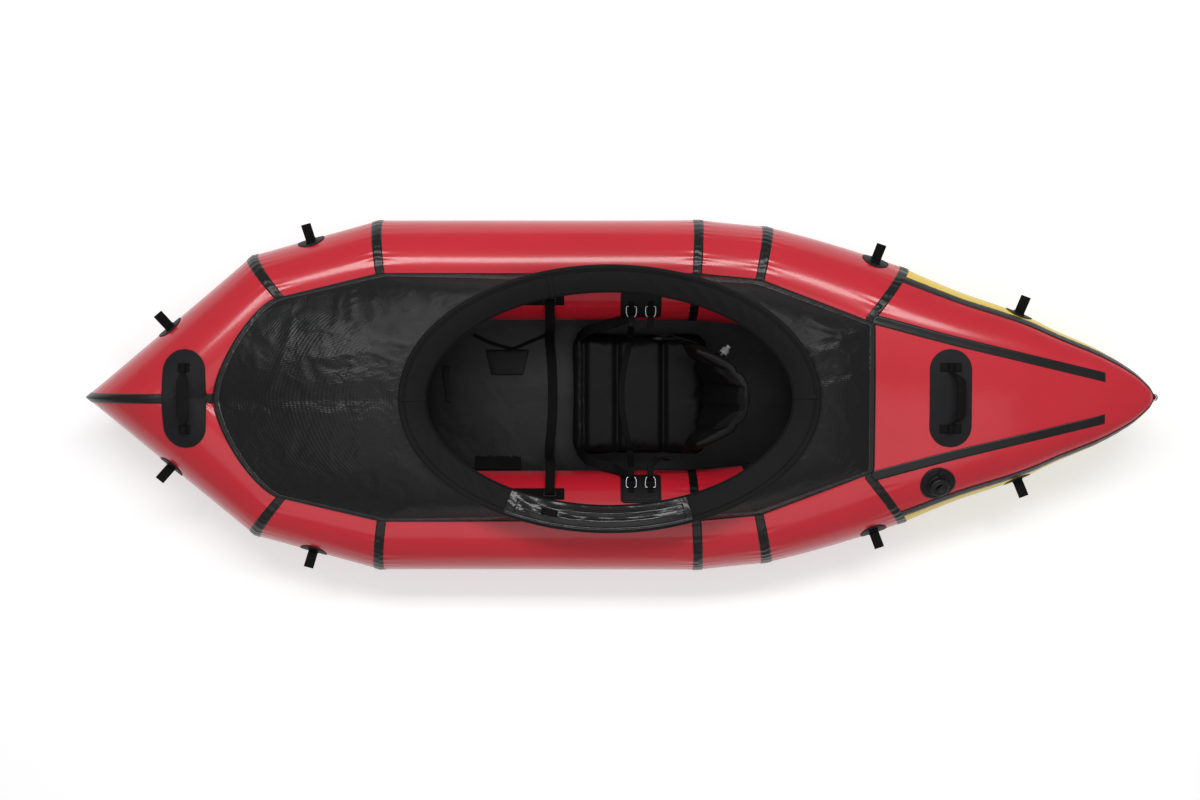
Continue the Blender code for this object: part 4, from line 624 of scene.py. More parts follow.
# %% Hull sleeves


def near_ends(share):
    """Moves evenly spaced rows closer to both ends."""
    return share - 0.11 * sin(2 * pi * share)


def make_sleeve(name, pair, side, rows, node):
    """Makes one sleeve of the air hull."""
    length = (rings[pair[1]][0] - rings[pair[0]][0]).length

    def place(across, along):
        return sleeve_point(pair, near_ends(along), 2 * pi * across, side)

    piece = laid_cloth(name, 288, rows, (2 * pi * RADIUS, length), place, red, tube_hint)
    put(piece, "hull", "red_fabric", node)


SLEEVE_ROWS = (
    ("bow", "bow", 52), ("front", "front", 36), ("side", "side", 72), ("rear", "quarter", 28),
    ("quarter", "quarter", 40),
)
for word, side in sides.items():
    for pair, (name, solid, rows) in zip(sleeves, SLEEVE_ROWS):
        make_sleeve("%s_sleeve_%s" % (name, word), pair, side, rows, "%s_tube_%s" % (solid, word))

# %% [markdown]
# ## The stern's two skins
# Behind the cockpit the two side tubes run together into one pointed chamber: a red skin above and a
# yellow one below, joined along the widest line. Each is one grid from edge to edge across the boat,
# with flat panels between the lobes, and each row is a smooth ring of the stern.

# %% Stern skins
SKINS = {"upper": (0.52, pi / 2, SPLIT), "lower": (0.40, -pi / 2, SPLIT)}


def stern_point(run, angle, side, lift=0.0):
    """Gives a place on the stern's lobe, with ripples along the joint of its skins."""
    ring = stern_ring(run)
    gap = abs(angle - SPLIT) * ring[3]
    uneven = noise.noise(Vector((run * 9.0, side * 2.0, 0.5)))
    ripple = 0.0004 * exp(-gap / 0.022) * sin(run * 95.0 + 9.0 * uneven)
    ripple *= min(1.0, ring[3] / 0.05)
    ripple += pucker(angle, run * RUNS["stern"], side * 11.0)
    return mirrored(ring_point(ring, angle, ripple + lift), side)


def panel_point(run, share, level, lift=0.0):
    """Gives a place on the panel between the stern's lobes, from -1 at port to 1 at starboard."""
    ring = stern_ring(run)
    crown = 0.010 * ring[0].y / QUARTER_Y * (1 - share * share) if level > 0 else 0.0
    crease = 0.0012 * noise.noise(Vector((run * 7.0, share * 1.6, 3.0 * level)))
    crease *= min(1.0, ring[0].y / 0.05) * (1 - share**4)
    height = ring[0].z + level * (ring[3] + lift) + crown + max(crease, 0.0) * level
    return Vector((ring[0].x, ring[0].y * share, height))


def stern_skin_point(which, across, run, lift=0.0):
    """Gives a place on the upper or the lower skin."""
    split, start, end = SKINS[which]
    share = abs(2 * across - 1)
    side = 1 if across < 0.5 else -1
    if share < split:
        return panel_point(run, side * share / split, 1 if which == "upper" else -1, lift)
    return stern_point(run, start + (end - start) * (share - split) / (1 - split), side, lift)


def make_stern_skin(which, finish, slot, hint):
    """Makes the upper or the lower skin of the stern."""

    def place(across, along):
        return stern_skin_point(which, across, along**0.9, 0.0 if which == "upper" else -0.0004)

    piece = laid_cloth("stern_%s_cloth" % which, 200, 130, (0.70, RUNS["stern"]), place, finish, hint)
    return put(piece, "hull", slot, "stern_%s_skin" % which)


def outward_from_stern(point):
    """Points away from the stern's middle line."""
    ring = stern_ring(min(max((point.x - QUARTER_X) / RUNS["stern"], 0.0), 1.0))
    return Vector((0, point.y, point.z - ring[0].z))


upper = make_stern_skin("upper", red, "red_fabric", outward_from_stern)
lower = make_stern_skin("lower", yellow, "yellow_fabric", outward_from_stern)
print("stern skins:", len(upper.data.polygons), "and", len(lower.data.polygons), "faces")

# %% [markdown]
# ## Where other pieces lie on the hull
# Tapes, patches and the deck must lie on the skin and not near it. Two search trees of the skins
# answer where a line meets them, which is how each of those pieces finds its height.

# %% Search trees of the air hull


def tree_of(*pieces):
    """Builds a search tree of some pieces."""
    shape = bmesh.new()
    for piece in pieces:
        shape.from_mesh(piece.data)
    tree = BVHTree.FromBMesh(shape)
    shape.free()
    return tree


skin_trees = (tree_of(upper, lower), tree_of(*(o for o in bpy.data.objects if "_sleeve_" in o.name)))


def land(point, away, reach=0.12):
    """Moves a point along a direction onto the hull's skin, or leaves it where there is none."""
    start = point + away * reach
    hits = [tree.ray_cast(start, -away, reach * 2.5) for tree in skin_trees]
    hits = [(hit[3], hit[0]) for hit in hits if hit[0] is not None]
    return min(hits)[1] if hits else point


def drop(x, y, top=0.5):
    """Gives the place on the hull's upper skin at a point of the plan."""
    beside = y if abs(y) > 0.0005 else 0.0005
    return land(Vector((x, beside, 0.25)), UP, top)


print("skin trees:", len(skin_trees))

# %% [markdown]
# ## Seam tapes
# Each weld of the air hull has a 24 mm black tape over it. A tape is a grid that crosses the seam:
# its near half lies on one sleeve and its far half on the next, so it bends with the seam and shows
# the same puckers. Solidify gives it a film's thickness.

# %% Tapes
LIFT = 0.0003
FILM = 0.0007
CREST_START = 0.006
CREST_END = 0.811
TIP_SHARE = 0.03


def seam_tape(name, before, after, side, low, high, *nodes):
    """Makes a tape over the seam between two sleeves, from one angle round the ring to another."""
    spans = [(rings[p[1]][0] - rings[p[0]][0]).length for p in (before, after) if p]

    def place(across, around):
        distance = (across - 0.5) * TAPE
        angle = low + (high - low) * around
        if distance <= 0:
            return sleeve_point(before, 1 + distance / spans[0], angle, side, LIFT)
        if after is None:
            return stern_point(distance / RUNS["stern"], angle, side, LIFT)
        return sleeve_point(after, distance / spans[1], angle, side, LIFT)

    closed = after is not None
    piece = laid_cloth(name, 6, 300, (TAPE, (high - low) * RADIUS), place, tape_film, tube_hint, closed)
    put(thicken(piece, FILM), "hull", "black_tape", *nodes)


RING_TAPES = {
    "front_tape_": "front_seam_tape_",
    "fore_side_tape_": "side_front_tape_",
    "aft_side_tape_": "side_rear_tape_",
    "quarter_tape_": "",
}
for word, side in sides.items():
    for (name, solid), before, after in zip(RING_TAPES.items(), sleeves, sleeves[1:]):
        nodes = [solid + word] if solid else []
        seam_tape(name + word, before, after, side, 0.0, 2 * pi, *nodes)
    joint = "stern_joint_tape_" + word
    seam_tape("joint_tape_" + word, sleeves[4], None, side, -pi / 2, pi / 2 + radians(9), joint)


print("tapes round the tubes:", 2 * (len(RING_TAPES) + 1))

# %% [markdown]
# The bow's tape runs over the tip in the middle plane. At the stern one tape lies on each crest, and
# one goes along the joint of the two skins and once round the tip, where it's folded to a small nose.

# %% Tape over the bow


def centre_tape_place(across, around):
    """Gives a place on the bow's centre tape, which runs over the tip in the middle plane."""
    side = 1 if across >= 0.5 else -1
    angle = radians(-75.0 + 195.0 * around)
    root, far = ring_point(rings["bow"], angle), ring_point(rings["front"], angle)
    share = abs(across - 0.5) * TAPE / (far.y - root.y)
    return mirrored(root.lerp(far, share) + (root - rings["bow"][0]).normalized() * 0.0007, side)


def from_bow_ring(point):
    """Points away from the bow ring's middle."""
    return point - rings["bow"][0]


bow_tape = laid_cloth("bow_tape", 6, 120, (TAPE, 0.6), centre_tape_place, tape_film, from_bow_ring)
put(thicken(bow_tape, FILM), "hull", "black_tape", "bow_centre_tape")


print("bow tape:", len(bow_tape.data.polygons), "faces")

# %% Tapes of the stern


def crest_tape(word, side):
    """Makes the straight tape along one of the stern's two crests."""

    def place(across, along):
        run = CREST_START + (CREST_END - CREST_START) * along
        ring = stern_ring(run)
        offset = (across - 0.5) * TAPE
        if offset >= 0:
            reach = max(ring[1].y, 0.02)
            return stern_point(run, pi / 2 - offset / reach, side, LIFT + 0.0004)
        return mirrored(panel_point(run, 1 + offset / ring[0].y, 1, LIFT + 0.0004), side)

    piece = laid_cloth("crest_tape_" + word, 6, 90, (TAPE, 0.6), place, tape_film, upward)
    put(thicken(piece, FILM), "hull", "black_tape", "stern_crest_tape_" + word)


for word, side in sides.items():
    crest_tape(word, side)


def edge_tape_place(across, along):
    """Gives a place on the tape over the joint of the stern's skins, once round the tip."""
    side = 1 if along < 0.5 else -1
    share = abs(2 * along - 1)
    if share < TIP_SHARE:
        ring = stern_ring(1.0)
        turn = pi / 2 * share / TIP_SHARE
        reach = ring[0].y + ring[1].y * cos(SPLIT) + 0.0012
        level = ring[0].z + ring[3] * (sin(SPLIT) + 0.5 - across)
        return Vector((ring[0].x + reach * cos(turn), side * reach * sin(turn), level))
    run = 1.0 - (share - TIP_SHARE) / (1 - TIP_SHARE) * (1 - 0.47 * TAPE / RUNS["stern"])
    ring = stern_ring(run)
    spread = min(TAPE / 2 / ring[3], SPLIT)
    return stern_point(run, SPLIT + spread * (1 - 2 * across), side, LIFT + 0.0005)


edge_tape = laid_cloth(
    "edge_tape", 6, 400, (TAPE, 1.6), edge_tape_place, tape_film, outward_from_stern, False
)
put(thicken(edge_tape, FILM), "hull", "black_tape", "stern_edge_tape")


def tip_cap():
    """Closes the stern's tip with a small rounded nose of folded tape."""
    ring = stern_ring(1.0)
    reach = ring[0].y + ring[1].y * cos(SPLIT)
    shape = bmesh.new()
    bmesh.ops.create_icosphere(shape, subdivisions=4, radius=1.0)
    bmesh.ops.scale(shape, vec=(reach, reach, ring[3] * 1.05), verts=shape.verts)
    bmesh.ops.translate(shape, vec=(ring[0].x, 0, ring[0].z), verts=shape.verts)
    put(finish_mesh("stern_tip_nose", shape, tape_film), "hull", "black_tape")


tip_cap()

# %% [markdown]
# ## Deck
# The deck is one black sheet, welded along the tubes' crests and across the stern joint, and pulled up
# to the coaming's neck. Its cut edge is followed as one closed line. The sheet is a grid that runs
# round that line and inward to the neck's oval, domed between them, with the creases that a stretched
# coated cloth shows towards the bow and behind the coaming.

# %% Deck outline
COAMING_X = -0.0255
COAMING_LENGTH = 1.068
COAMING_WIDTH = 0.680
COAMING_TOP = 0.365
PIPING = 0.0066
BAND = 0.071
NECK_INSET = 0.024
NECK_FOOT = 0.332
NECK_TOP = 0.3575
NECK_SHARE = 0.84
WELD = 0.018
NOSE_REACH = 0.160
NOSE_STEPS = 48
SIDE_STEPS = 24


def oval(length, width, angle, height=0.0):
    """Gives a place on an oval about the coaming's middle."""
    return Vector((COAMING_X + length / 2 * cos(angle), width / 2 * sin(angle), height))


def oval_angle(point):
    """Gives the angle on the coaming's oval at which a place lies."""
    return atan2(point.y / COAMING_WIDTH, (point.x - COAMING_X) / COAMING_LENGTH)


def deck_half_line():
    """Gives the plan of the deck's starboard edge, from the stern joint to the nose."""
    crest = [rings[name][0] - Vector((0, 0.012, 0)) for name in ("stern", "rear", "aft", "side", "front")]
    crest[0] = crest[0] + Vector((0.012, 0, 0))
    line = []
    for start, end in zip(crest, crest[1:]):
        line += [start.lerp(end, i / SIDE_STEPS) for i in range(SIDE_STEPS)]
    front = crest[-1]
    for i in range(NOSE_STEPS):
        turn = pi / 2 * i / NOSE_STEPS
        back_off, half = NOSE_REACH * sin(turn) ** (2 / 1.4), front.y * cos(turn) ** (2 / 1.4)
        line.append(Vector((front.x - back_off, half, 0)))
    line.append(Vector((front.x - NOSE_REACH, 0, 0)))
    return line


def spread_evenly(line, count):
    """Gives points at even distances along a closed line."""
    closed = line + [line[0]]
    marks = [0.0]
    for a, b in zip(closed, closed[1:]):
        marks.append(marks[-1] + (b - a).length)
    points, index = [], 0
    for i in range(count):
        want = marks[-1] * i / count
        while marks[index + 1] < want:
            index += 1
        share = (want - marks[index]) / max(marks[index + 1] - marks[index], 1e-9)
        points.append(closed[index].lerp(closed[index + 1], share))
    return points, marks[-1]


half_line = [Vector((p.x, p.y, 0)) for p in deck_half_line()]
whole_line = half_line + [Vector((p.x, -p.y, 0)) for p in reversed(half_line[:-1])]
DECK_STEPS = 420
deck_edge, deck_girth = spread_evenly(whole_line, DECK_STEPS)
deck_edge = [Vector((p.x, p.y, drop(p.x, p.y).z + 0.0019)) for p in deck_edge]
for _ in range(2):
    levels = [p.z for p in deck_edge]
    for i, point in enumerate(deck_edge):
        point.z = max(point.z, (levels[i - 1] + levels[i] + levels[(i + 1) % DECK_STEPS]) / 3)
print("deck edge:", round(deck_girth, 3), "m round")

# %% Deck creases


def deck_crease(x, y, share):
    """Gives the height of the deck's creases: fine and shiny to starboard, nearly smooth to port."""
    inside = sin(pi * min(max(share, 0.0), 1.0)) ** 0.7
    fore = min(max((-0.50 - x) / 0.25, 0.0), 1.0)
    rear = min(max((x - 0.42) / 0.12, 0.0), 1.0)
    upper = 1 / (1 + exp(-(y + 0.01) / 0.022))
    flow = noise.noise(Vector((x * 3.0, y * 3.0, 7.0)))
    pulls = noise.noise(Vector((x * 7.0 + 2.0 * flow, y * 20.0 + 5.0 * flow, 1.0)))
    folds = (1 - abs(pulls)) ** 9
    small = noise.noise(Vector((x * 38.0, y * 46.0, 5.0)))
    height = (0.0020 * fore + 0.0028 * rear + 0.0006) * folds * (0.12 + 0.88 * upper)
    height += small * (0.00018 + 0.00075 * upper * (fore + rear))
    gather = noise.noise(Vector((x * 95.0, y * 95.0, 2.0)))
    height += 0.0015 * gather * exp(-((share / 0.16) ** 2)) * (0.1 + 0.9 * upper) * (fore + rear)
    seam = exp(-(((x + 0.672 + 0.012 * sin(y * 9.0)) / 0.005) ** 2)) * (0.0008 + 0.0012 * sin(y * 300.0))
    for line in range(3):
        bow_arc = -0.006 - 0.014 * line + 1.9 * (x + 0.84 - 0.02 * line) ** 2
        height += 0.0015 * exp(-(((y - bow_arc) / 0.0042) ** 2)) * fore * exp(-(((x + 0.84) / 0.10) ** 2))
        fan = -0.205 + 0.9 * (x - 0.560 - 0.024 * line)
        height += 0.0030 * exp(-(((y - fan) / 0.0050) ** 2)) * rear * exp(-(((y + 0.15) / 0.05) ** 2))
    return (height + (seam if abs(y) < 0.30 else 0)) * inside


print("creases ready")

# %% [markdown]
# Each place on the deck is found from its share of the way round the edge and its share of the way
# inward. The neck is the last part inward, where the sheet turns up to the coaming.

# %% Deck sheet


def deck_edge_at(around):
    """Gives the deck's edge at a share of the way round, with its angle on the coaming's oval."""
    index = around * DECK_STEPS
    first = int(index) % DECK_STEPS
    edge = deck_edge[first].lerp(deck_edge[(first + 1) % DECK_STEPS], index - int(index))
    return edge, oval_angle(edge)


def deck_point(around, inward, lift=0.0):
    """Gives a place on the deck, from its edge to the top of the neck."""
    edge, angle = deck_edge_at(around)
    inset = NECK_INSET + 0.001
    base = oval(COAMING_LENGTH - 2 * inset, COAMING_WIDTH - 2 * inset, angle, NECK_FOOT)
    if inward > NECK_SHARE:
        share = (inward - NECK_SHARE) / 0.16
        top = oval(COAMING_LENGTH - 2 * NECK_INSET, COAMING_WIDTH - 2 * NECK_INSET, angle, NECK_TOP)
        return base.lerp(top, share) + Vector((0, 0, lift))
    share = inward / NECK_SHARE
    eased = share - 0.04 * sin(2 * pi * share)
    point = edge.lerp(base, eased)
    span = min(hypot(base.x - edge.x, base.y - edge.y) / 0.160, 1.0)
    rise = 0.012 * span * sin(pi * eased) + deck_crease(point.x, point.y, share) * span
    flare = 0.006 * max(share - 0.75, 0.0) / 0.25
    return point + Vector((0, 0, rise + lift - flare * (1 - share) * 4))


deck = laid_cloth("deck_cloth", DECK_STEPS, 64, (deck_girth, 0.4), deck_point, deck_cloth, upward)
put(thicken(deck, 0.0008), "hull", "black_fabric", "deck_sheet")


# %% Weld strip on the deck


def strip_on_deck(name, width, start, lift, finish, thick, rows):
    """Makes a strip of film on the deck, at a distance inward from its edge."""

    def place(around, across):
        edge, angle = deck_edge_at(around)
        base = oval(COAMING_LENGTH - 2 * NECK_INSET, COAMING_WIDTH - 2 * NECK_INSET, angle)
        span = max(hypot(base.x - edge.x, base.y - edge.y), 0.05)
        return deck_point(around, NECK_SHARE * (start + width * across) / span, lift)

    piece = laid_cloth(name, DECK_STEPS, rows, (deck_girth, width), place, finish, upward)
    put(thicken(piece, thick), "hull", "black_tape")


weld_film = cloth(
    "shiny weld film",
    (0.016, 0.016, 0.017), (0.009, 0.009, 0.010), (0.16, 0.28), (180.0, 0.04), (60.0, 0.5), 0.5,
)
strip_on_deck("deck_weld_strip", WELD, 0.003, 0.0009, weld_film, 0.0004, 6)
strip_on_deck("deck_edge_bead", 0.0025, 0.0, 0.0010, tape_film, 0.0009, 2)
print("weld strip:", round(WELD * 1000), "mm wide")

# %% [markdown]
# ## Coaming
# The coaming is a cloth band, sewn round a bent rod. On its outer edge the rod fills a round hem, and
# inward the band slopes down a little to a free edge. Its profile is carried round the oval, with the
# diagonal pleats that the curve forces into the cloth, short joins across it and, on the port side,
# the doubled mouth through which the rod goes in.

# %% Section of the coaming
HEM_SHARE = 0.36


def coaming_line(angle):
    """Gives the rod's place at an angle, and the level direction away from the middle."""
    length, width = COAMING_LENGTH - 2 * PIPING, COAMING_WIDTH - 2 * PIPING
    point = oval(length, width, angle, COAMING_TOP - PIPING)
    return point, Vector((cos(angle) / length, sin(angle) / width, 0)).normalized()


def window(angle, middle, half):
    """Gives a smooth bump of 1 about a middle angle."""
    away = abs((angle - middle + pi) % (2 * pi) - pi)
    return max(0.0, cos(min(away / half, 1.0) * pi / 2)) ** 2


def band_profile(share, angle):
    """Gives the band's section: outward and upward distances from the rod's middle."""
    if share < HEM_SHARE:
        turn = radians(-150.0 + 300.0 * share / HEM_SHARE)
        return PIPING * cos(turn), PIPING * sin(turn)
    t = (share - HEM_SHARE) / (1 - HEM_SHARE)
    u = -PIPING * 0.87 - (BAND - PIPING * 1.87) * t
    w = PIPING * 0.5 * (1 - t) ** 1.5 - 0.014 * t**1.4
    pull = 0.0022 * sin(pi * t)
    pleats = 0.0017 * window(angle, radians(-128), radians(62)) * sin(angle * 46.0 + 9.0 * t)
    pleats += 0.0015 * window(angle, radians(52), radians(48)) * sin(angle * 50.0 + 8.0 * t)
    pleats += 0.0007 * noise.noise(Vector((cos(angle) * 9.0 + t * 2.0, sin(angle) * 9.0, 2.0)))
    mouth = window(angle, radians(-93), radians(30))
    ridges = 0.0030 * mouth * (exp(-(((t - 0.30) / 0.10) ** 2)) + exp(-(((t - 0.66) / 0.10) ** 2)))
    return u, w + pull + pleats * sin(pi * min(t * 1.1, 1.0)) + ridges


def band_point(around, across, lift=0.0):
    """Gives a place on the band."""
    angle = 2 * pi * around
    point, away = coaming_line(angle)
    u, w = band_profile(across, angle)
    return point + away * u + Vector((0, 0, w + lift))


def away_from_rod(point):
    """Points up and away from the middle of the band's section."""
    middle, away = coaming_line(oval_angle(point))
    return point - middle + Vector((0, 0, 0.012)) if (point - middle).dot(away) > -0.008 else UP


print("hem:", round(2000 * PIPING, 1), "mm thick")

# %% Coaming band
band = laid_cloth("coaming_band", 400, 40, (2.8, 0.11), band_point, rim_cloth, away_from_rod)
put(thicken(band, 0.0010, -1.0), "hull", "black_fabric", "coaming_sleeve")
print("coaming band:", len(band.data.polygons), "faces")


# %% [markdown]
# The joins, the rod's mouth and the stitch lines are narrow strips, laid a little above the band with
# the same place function.

# %% Strips on the band


def band_strip(name, low, high, start, end, finish, lift, columns, rows):
    """Makes a strip on the band between two angles and between two places of its section."""

    def place(along, across):
        return band_point((low + (high - low) * along) / (2 * pi), start + (end - start) * across, lift)

    size = (abs(high - low) * 0.4, (end - start) * 0.11)
    piece = laid_cloth(name, columns, rows, size, place, finish, upward)
    put(thicken(piece, 0.0006), "hull", "black_fabric")


for name, middle in (("fore", pi), ("aft", 0.02), ("starboard", radians(107))):
    reach = 0.007 / hypot(0.534 * sin(middle), 0.340 * cos(middle))
    band_strip("coaming_join_" + name, middle - reach, middle + reach, 0.30, 0.98, rim_cloth, 0.0003, 4, 30)
for name, low, high, *strip in (
    ("rod_mouth_film", -121, -66, 0.30, 0.97, rim_film, 0.0005, 80, 24),
    ("rod_mouth_fold", -118, -68, 0.40, 0.60, rim_film, 0.0016, 60, 8),
    ("rod_mouth_lip", -118, -68, 0.66, 0.80, rim_film, 0.0016, 60, 6),
    ("rod_mouth_tab", -110, -105, 0.56, 0.74, webbing, 0.0035, 6, 6),
    ("hem_stitch_inner", 0, 360, 0.945, 0.962, webbing, 0.0001, 400, 2),
    ("hem_stitch_outer", 0, 360, 0.395, 0.410, webbing, 0.0001, 400, 2),
):
    band_strip(name, radians(low), radians(high), *strip)
print("strips on the band: 9")

# %% [markdown]
# ## Floor and rear wall
# The floor is a heavy black sheet under the tubes, slack and a little wavy between them. The rear wall
# closes the cockpit in front of the stern chamber, and the air behind it pushes it out a little.

# %% Floor sheet and rear wall


def floor_place(across, along):
    """Gives a place on the floor's upper face."""
    names = ("bow", "front", "side", "aft", "rear", "stern")
    x = BOW_X + (QUARTER_X - 0.024 - BOW_X) * along
    for first, second in zip(names, names[1:]):
        a, b = rings[first], rings[second]
        if x <= b[0].x or second == "stern":
            ring = mix_rings(a, b, (x - a[0].x) / (b[0].x - a[0].x))
            break
    half = max(ring[0].y, 0.006)
    y = half * (2 * across - 1)
    broad = max(noise.noise(Vector((x * 4.0, y * 7.0, 9.0))) + 0.25, 0.0)
    small = max(noise.noise(Vector((x * 17.0, y * 19.0, 2.0))), 0.0)
    slack = 0.0032 * broad + 0.0012 * small
    inside = max(0.0, 1 - abs(y) / max(half - 0.06, 0.02)) ** 0.5 if abs(y) < half - 0.06 else 0.0
    return Vector((x, y, ring[0].z - ring[3] - 0.0017 + slack * inside))


floor_piece = laid_cloth("floor_cloth", 96, 240, (0.66, 1.8), floor_place, floor_cloth, upward)
put(thicken(floor_piece, 0.0010, -1.0), "hull", "black_fabric", "floor_sheet")


def wall_place(across, along):
    """Gives a place on the cockpit's rear wall."""
    ring = rings["stern"]
    edge = ring_point(ring, pi / 2 + pi * (0.02 + 0.96 * along), 0.0003)
    level = min(max(edge.z, ring[0].z - ring[3] + 0.0016), ring[0].z + ring[3] - 0.0016)
    bulge = 0.0008 + 0.004 * sin(pi * along) * sin(pi * across)
    return Vector((QUARTER_X - 0.0016 - bulge, edge.y * (1 - 2 * across), level))


def to_bow(point):
    """Points to the bow."""
    return Vector((-1, 0, 0))


wall = laid_cloth("rear_wall_cloth", 60, 40, (0.4, 0.27), wall_place, floor_cloth, to_bow)
put(wall, "hull", "black_fabric", "stern_bulkhead")
print("rear wall:", len(wall.data.polygons), "faces")

# %% [markdown]
# ## Helpers for straps, tubes and turned pieces
# Webbing is a flat ribbon on a smooth path. Wire and hoses are round tubes on a path. Caps and valves
# are turned: an outline is spun once round its axis. Ribs and bars are small blocks with rounded
# edges. These makers serve all small fittings.

# %% Smooth paths and ribbons


def smooth_path(points, steps, closed=False):
    """Gives evenly stepped points on a smooth line through the given ones."""
    count = len(points)
    spans = count if closed else count - 1
    line = []
    for i in range(spans):
        a, b = points[i], points[(i + 1) % count]
        before = points[(i - 1) % count] if closed or i else a * 2 - b
        after = points[(i + 2) % count] if closed or i + 2 < count else b * 2 - a
        for step in range(steps):
            t = step / steps
            line.append(
                0.5 * ((2 * a) + (b - before) * t + (2 * before - 5 * a + 4 * b - after) * t**2)
                + 0.5 * (3 * a - before - 3 * b + after) * t**3
            )
    if not closed:
        line.append(points[-1].copy())
    return line


def path_length(line):
    """Gives the length of a line of points."""
    return sum((b - a).length for a, b in zip(line, line[1:]))


def ribbon(name, line, across, finish, thick):
    """Makes a flat strap along a line, with its half width given as one vector or one for each point."""
    if isinstance(across, Vector):
        across = [across] * len(line)

    def place(side, along):
        index = min(int(round(along * (len(line) - 1))), len(line) - 1)
        return line[index] + across[index] * (2 * side - 1)

    size = (across[len(across) // 2].length * 2, path_length(line))
    piece = laid_cloth(name, 6, len(line) - 1, size, place, finish, None, False)
    return thicken(piece, thick, 0.0)


print("ribbon maker ready")

# %% [markdown]
# A tube's ring of points is extruded once for each step of its path, and each ring is then turned
# square to the path. A closed path is bridged, and an open one gets a cap at each end.

# %% Round tubes


def tube(name, line, radius, finish, sides=12, closed=False):
    """Makes a round tube along a line, with its ends closed."""
    last = len(line) - 1
    frames = []
    normal = None
    for i, point in enumerate(line):
        before = line[i - 1] if i or closed else point
        after = line[(i + 1) % len(line)] if i < last or closed else point
        tangent = (after - before).normalized()
        if normal is None:
            normal = tangent.orthogonal().normalized()
        normal = (normal - tangent * normal.dot(tangent)).normalized()
        frames.append((normal.copy(), tangent.cross(normal)))
    shape = bmesh.new()
    layer = shape.loops.layers.uv.verify()
    bmesh.ops.create_circle(shape, segments=sides, radius=radius)
    ring = list(shape.verts)
    edges = list(shape.edges)
    angles = [atan2(v.co.y, v.co.x) for v in ring]
    rows = [ring]
    for _ in range(last):
        made = bmesh.ops.extrude_edge_only(shape, edges=edges)["geom"]
        fresh = {item for item in made if isinstance(item, bmesh.types.BMVert)}
        edges = [e for e in made if isinstance(e, bmesh.types.BMEdge) and fresh.issuperset(e.verts)]
        ring = [next(e.other_vert(v) for e in v.link_edges if e.other_vert(v) in fresh) for v in ring]
        rows.append(ring)
    for i, row in enumerate(rows):
        a, b = frames[i]
        for vert, angle in zip(row, angles):
            vert.co = line[i] + (a * cos(angle) + b * sin(angle)) * radius
    if closed:
        bmesh.ops.bridge_loops(shape, edges=[e for e in shape.edges if len(e.link_faces) == 1])
    else:
        for row in (rows[0], rows[-1]):
            bmesh.ops.contextual_create(shape, geom=row)
    bmesh.ops.recalc_face_normals(shape, faces=shape.faces)
    for face in shape.faces:
        for loop in face.loops:
            loop[layer].uv = (loop.vert.co.x * 3, loop.vert.co.z * 3)
    return finish_mesh(name, shape, finish)


print("tube maker ready")

# %% Turned pieces and blocks


def turned(name, outline, origin, axis, finish, sides):
    """Spins an outline of radius and height pairs round an axis."""
    shape = bmesh.new()
    verts = [shape.verts.new((radius, 0, height)) for radius, height in outline]
    edges = [shape.edges.new(pair) for pair in zip(verts, verts[1:] + verts[:1])]
    ends = verts + edges
    bmesh.ops.spin(shape, geom=ends, cent=(0, 0, 0), axis=UP, angle=2 * pi, steps=sides, use_merge=True)
    bmesh.ops.remove_doubles(shape, verts=shape.verts, dist=1e-6)
    bmesh.ops.recalc_face_normals(shape, faces=shape.faces)
    turn = UP.rotation_difference(axis.normalized()).to_matrix().to_4x4()
    bmesh.ops.transform(shape, matrix=Matrix.Translation(origin) @ turn, verts=shape.verts)
    return finish_mesh(name, shape, finish)


def add_block(shape, size, matrix, rounding):
    """Adds a block with rounded edges to a bmesh, put in place by a matrix."""
    made = bmesh.ops.create_cube(shape, size=1.0)["verts"]
    bmesh.ops.scale(shape, vec=size, verts=made)
    bmesh.ops.transform(shape, matrix=matrix, verts=made)
    edges = list({edge for vert in made for edge in vert.link_edges})
    bmesh.ops.bevel(shape, geom=edges, offset=rounding, segments=2, profile=0.5, affect="EDGES", material=-1)


print("turned pieces and blocks ready")

# %% [markdown]
# A fitting needs directions as well as a place, so two near places on the skin give the direction
# along it, two more give the way up the slope, and both together give the way out.

# %% Directions at a place on a skin


def skin_frame(point_at, share, angle):
    """Gives a place on a skin, with its outward, upslope and along directions."""
    point = point_at(share, angle)
    along = (point_at(share + 0.01, angle) - point_at(share - 0.01, angle)).normalized()
    up = point_at(share, angle + 0.02) - point_at(share, angle - 0.02)
    up = (up - along * up.dot(along)).normalized()
    out = along.cross(up).normalized()
    if out.dot(point - Vector((point.x, 0, AXIS_Z))) < 0:
        out = -out
    return point, out, up, along


print("directions ready")

# %% [markdown]
# ## Patches, tie loops and carrying handles
# A loop of webbing can't be sewn to an air chamber, so it is sewn to a patch, and the patch is glued on
# the hull. Round patches carry the eight tie loops. A long round-ended patch at each end of the boat
# carries a handle, whose round feet turn in two short cloth tunnels.

# %% Parts of a tie loop
LOOP_REACH = 0.047
LOOP_SEAT = 0.0024
LOOP_FOLD = ((0.25, 0.55), (0.45, 0.70), (0.70, 0.95), (0.88, 1.0), (0.97, 0.6))
PATCH_RADIUS = 0.036
WEBBING = 0.025


def round_patch(name, frame_here):
    """Makes a round patch on the hull's skin."""
    point, out, up, along = frame_here

    def place(around, inward):
        angle = 2 * pi * around
        reach = PATCH_RADIUS * (1 - inward)
        spot = point + along * (reach * cos(angle)) + up * (reach * sin(angle))
        return land(spot, out) + out * 0.0004

    piece = laid_cloth(name, 64, 14, (0.2, PATCH_RADIUS), place, patch_cloth, lambda p: out)
    put(thicken(piece, 0.0012), "hull", "black_fabric")


